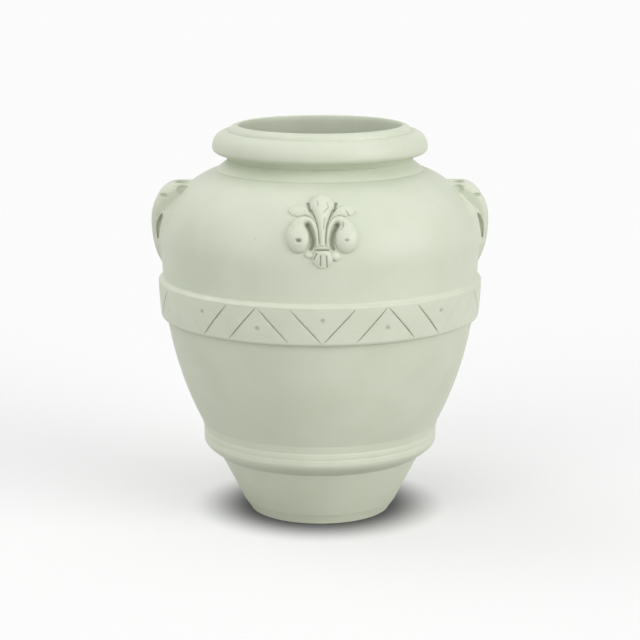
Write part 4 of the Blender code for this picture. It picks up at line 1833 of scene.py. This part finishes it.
@dataclass
class Studio:
    """Pale floor, soft lights and the camera of the photograph."""

    target: tuple[float, float, float] = (0.0, 0.0, 0.2954)
    distance: float = 3.1343
    pitch: float = math.radians(12.0)
    azimuth: float = math.radians(-0.8)
    lens: float = 113.7
    sensor: float = 36.0
    sight: float = 200.0
    floor_size: float = 60.0
    floor_colour: float = 0.70
    floor_glow: float = 0.28
    # painted shadow on the floor round the jar: radii where it starts and fades out, and its
    # darkest level
    painted_shadow_ring: tuple[float, float] = (0.098, 0.208)
    painted_shadow_darkest: float = 0.10
    bounce_colour: tuple[float, float, float] = (0.52, 0.52, 0.50)
    sky: float = 0.26
    backdrop: float = 0.955
    lamps: tuple[Lamp, ...] = (
        Lamp("top_light", (0.0, 0.0, -1.0), 0.88, 90),
        Lamp("right_light", (-0.80, 0.54, -0.26), 2.10, 50),
        Lamp("left_light", (0.80, 0.52, -0.28), 0.68, 50),
        Lamp("front_light", (0.40, 0.75, -0.55), 0.50, 40),
        Lamp("edge_light", (0.75, -0.35, -0.80), 0.50, 50),
    )

    def camera(self) -> None:
        """Sets the camera at the photograph's place."""
        flat = self.distance * math.cos(self.pitch)
        middle = Vector(self.target)
        spot = middle + Vector((
            flat * math.sin(self.azimuth), -flat * math.cos(self.azimuth),
            self.distance * math.sin(self.pitch),
        ))
        bpy.ops.object.camera_add(location=spot)
        camera = bpy.context.object
        camera.rotation_euler = (middle - spot).to_track_quat("-Z", "Y").to_euler()
        camera.data.sensor_width = self.sensor
        camera.data.lens = self.lens
        camera.data.clip_end = self.sight
        bpy.context.scene.camera = camera

    @staticmethod
    def seen(tree: Tree) -> Socket:
        """Adds a test for what is seen, straight or by a reflection.

        Args:
            tree: Nodes of a material or of the world.

        Returns:
            1 for what is seen, and 0 for what only gives light.
        """
        path = tree.nodes.new("ShaderNodeLightPath")
        direct = ClayCoat.combine(
            tree, "MAXIMUM", path.outputs["Is Camera Ray"], path.outputs["Is Glossy Ray"]
        )
        return ClayCoat.combine(tree, "MAXIMUM", direct, path.outputs["Is Transmission Ray"])

    def floor(self) -> None:
        """Lays the floor, which the camera sees lighter than it is, with a painted shadow round the
        foot of the jar.
        """
        Bench.clear()
        bpy.ops.mesh.primitive_plane_add(size=self.floor_size)
        floor = Bench.named("studio_floor")
        material = bpy.data.materials.new("pale_floor")
        material.use_nodes = True
        tree = material.node_tree
        shader = tree.nodes["Principled BSDF"]
        shader.inputs["Roughness"].default_value = 1.0
        shader.inputs["Specular IOR Level"].default_value = 0.0
        clear = self.seen(tree)
        away = tree.nodes.new("ShaderNodeVectorMath")
        away.operation = "LENGTH"
        place = tree.nodes.new("ShaderNodeTexCoord").outputs["Object"]
        tree.links.new(place, away.inputs[0])
        # painted shadow, darkest at the foot of the jar
        ease = ClayCoat.ramp(tree, away.outputs["Value"], *self.painted_shadow_ring)
        lift = ClayCoat.combine(tree, "MULTIPLY", ease, 1 - self.painted_shadow_darkest)
        level = ClayCoat.combine(tree, "ADD", lift, self.painted_shadow_darkest)
        mix = tree.nodes.new("ShaderNodeMix")
        mix.data_type = "RGBA"
        mix.inputs["A"].default_value = (*self.bounce_colour, 1)
        tree.links.new(clear, mix.inputs["Factor"])
        colour = ClayCoat.combine(tree, "MULTIPLY", level, self.floor_colour)
        tree.links.new(colour, mix.inputs["B"])
        tree.links.new(mix.outputs["Result"], shader.inputs["Base Color"])
        glow = ClayCoat.combine(tree, "MULTIPLY", level, self.floor_glow)
        shader.inputs["Emission Color"].default_value = WHITE
        shown = ClayCoat.combine(tree, "MULTIPLY", clear, glow)
        tree.links.new(shown, shader.inputs["Emission Strength"])
        floor.data.materials.append(material)
        floor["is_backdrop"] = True

    def light(self) -> None:
        """Lights the jar softly from all round, with the strongest light from the right."""
        world = bpy.data.worlds.new("soft_sky")
        world.use_nodes = True
        bpy.context.scene.world = world
        tree = world.node_tree
        sky = tree.nodes["Background"]
        mix = tree.nodes.new("ShaderNodeMix")
        mix.inputs["A"].default_value = self.sky
        mix.inputs["B"].default_value = self.backdrop
        tree.links.new(self.seen(tree), mix.inputs["Factor"])
        tree.links.new(mix.outputs["Result"], sky.inputs["Strength"])
        sky.inputs["Color"].default_value = WHITE
        for lamp in self.lamps:
            lamp.hang()

    def build(self) -> None:
        """Sets up the studio."""
        self.floor()
        self.light()
        self.camera()
        bpy.context.scene.view_settings.view_transform = "Standard"


WALL_COAT = ClayCoat(
    "wall_clay_coat", colour=(0.590, 0.632, 0.505), pale=(0.630, 0.668, 0.545),
    shade=(0.330, 0.358, 0.268),
)
RELIEF_COAT = ClayCoat(
    "relief_clay_coat", colour=(0.605, 0.645, 0.520), pale=(0.645, 0.682, 0.560),
    shade=(0.215, 0.235, 0.170), ring_height=0.00004, mottle_scale=16.0,
)


class Dresser:
    """Gives each finished piece its body and the coat of its slot, and hides the part of the frame
    that it stands for.
    """

    def __init__(self) -> None:
        """Mixes one coat for each slot."""
        self.coats = {Slot.WALL: WALL_COAT.build(), Slot.RELIEF: RELIEF_COAT.build()}

    def dress(self, piece: Piece, node: str, slot: Slot) -> None:
        """Dresses one piece.

        Args:
            piece: The finished piece.
            node: Node of the frame that it stands for.
            slot: Its finish slot.
        """
        piece.data.materials.clear()
        piece.data.materials.append(self.coats[slot])
        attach(piece, BODY)
        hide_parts(node)
        LOG.info("%s stands for %s, %d faces", piece.name, node, len(piece.data.polygons))


def boxes(*corners: Iterable[Sequence[float]]) -> list[list[list[float]]]:
    """Turns boxes of two corners each into plain lists of numbers."""
    return [[[float(x) for x in corner] for corner in box] for box in corners]


def main() -> None:
    """Builds the jar piece by piece, dresses it and sets up the studio."""
    logging.basicConfig(level=logging.INFO, format="%(name)s: %(message)s")
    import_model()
    cad_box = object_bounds()
    form = JarForm()
    dresser = Dresser()

    wall = TurnedWall(form)
    dresser.dress(wall.slab(), "base_slab", Slot.WALL)
    dresser.dress(wall.foot(), "foot_section", Slot.WALL)
    dresser.dress(wall.belly(), "belly_section", Slot.WALL)
    dresser.dress(wall.shoulder(), "shoulder_section", Slot.WALL)
    dresser.dress(RolledRim(form).build(), "rim_section", Slot.WALL)
    dresser.dress(LedgeMoulding(form).build(), "foot_ledge", Slot.WALL)
    dresser.dress(ScoredBand(form).build(), "belly_band", Slot.RELIEF)
    left_ear, right_ear = EarHandle(form).build()
    dresser.dress(left_ear, "left_handle", Slot.RELIEF)
    dresser.dress(right_ear, "right_handle", Slot.RELIEF)
    for node, piece in LilyRelief(form).build().items():
        dresser.dress(piece, node, Slot.RELIEF)

    Studio().build()
    cad, visual = boxes(cad_box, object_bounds())


if __name__ == "__main__":
    main()
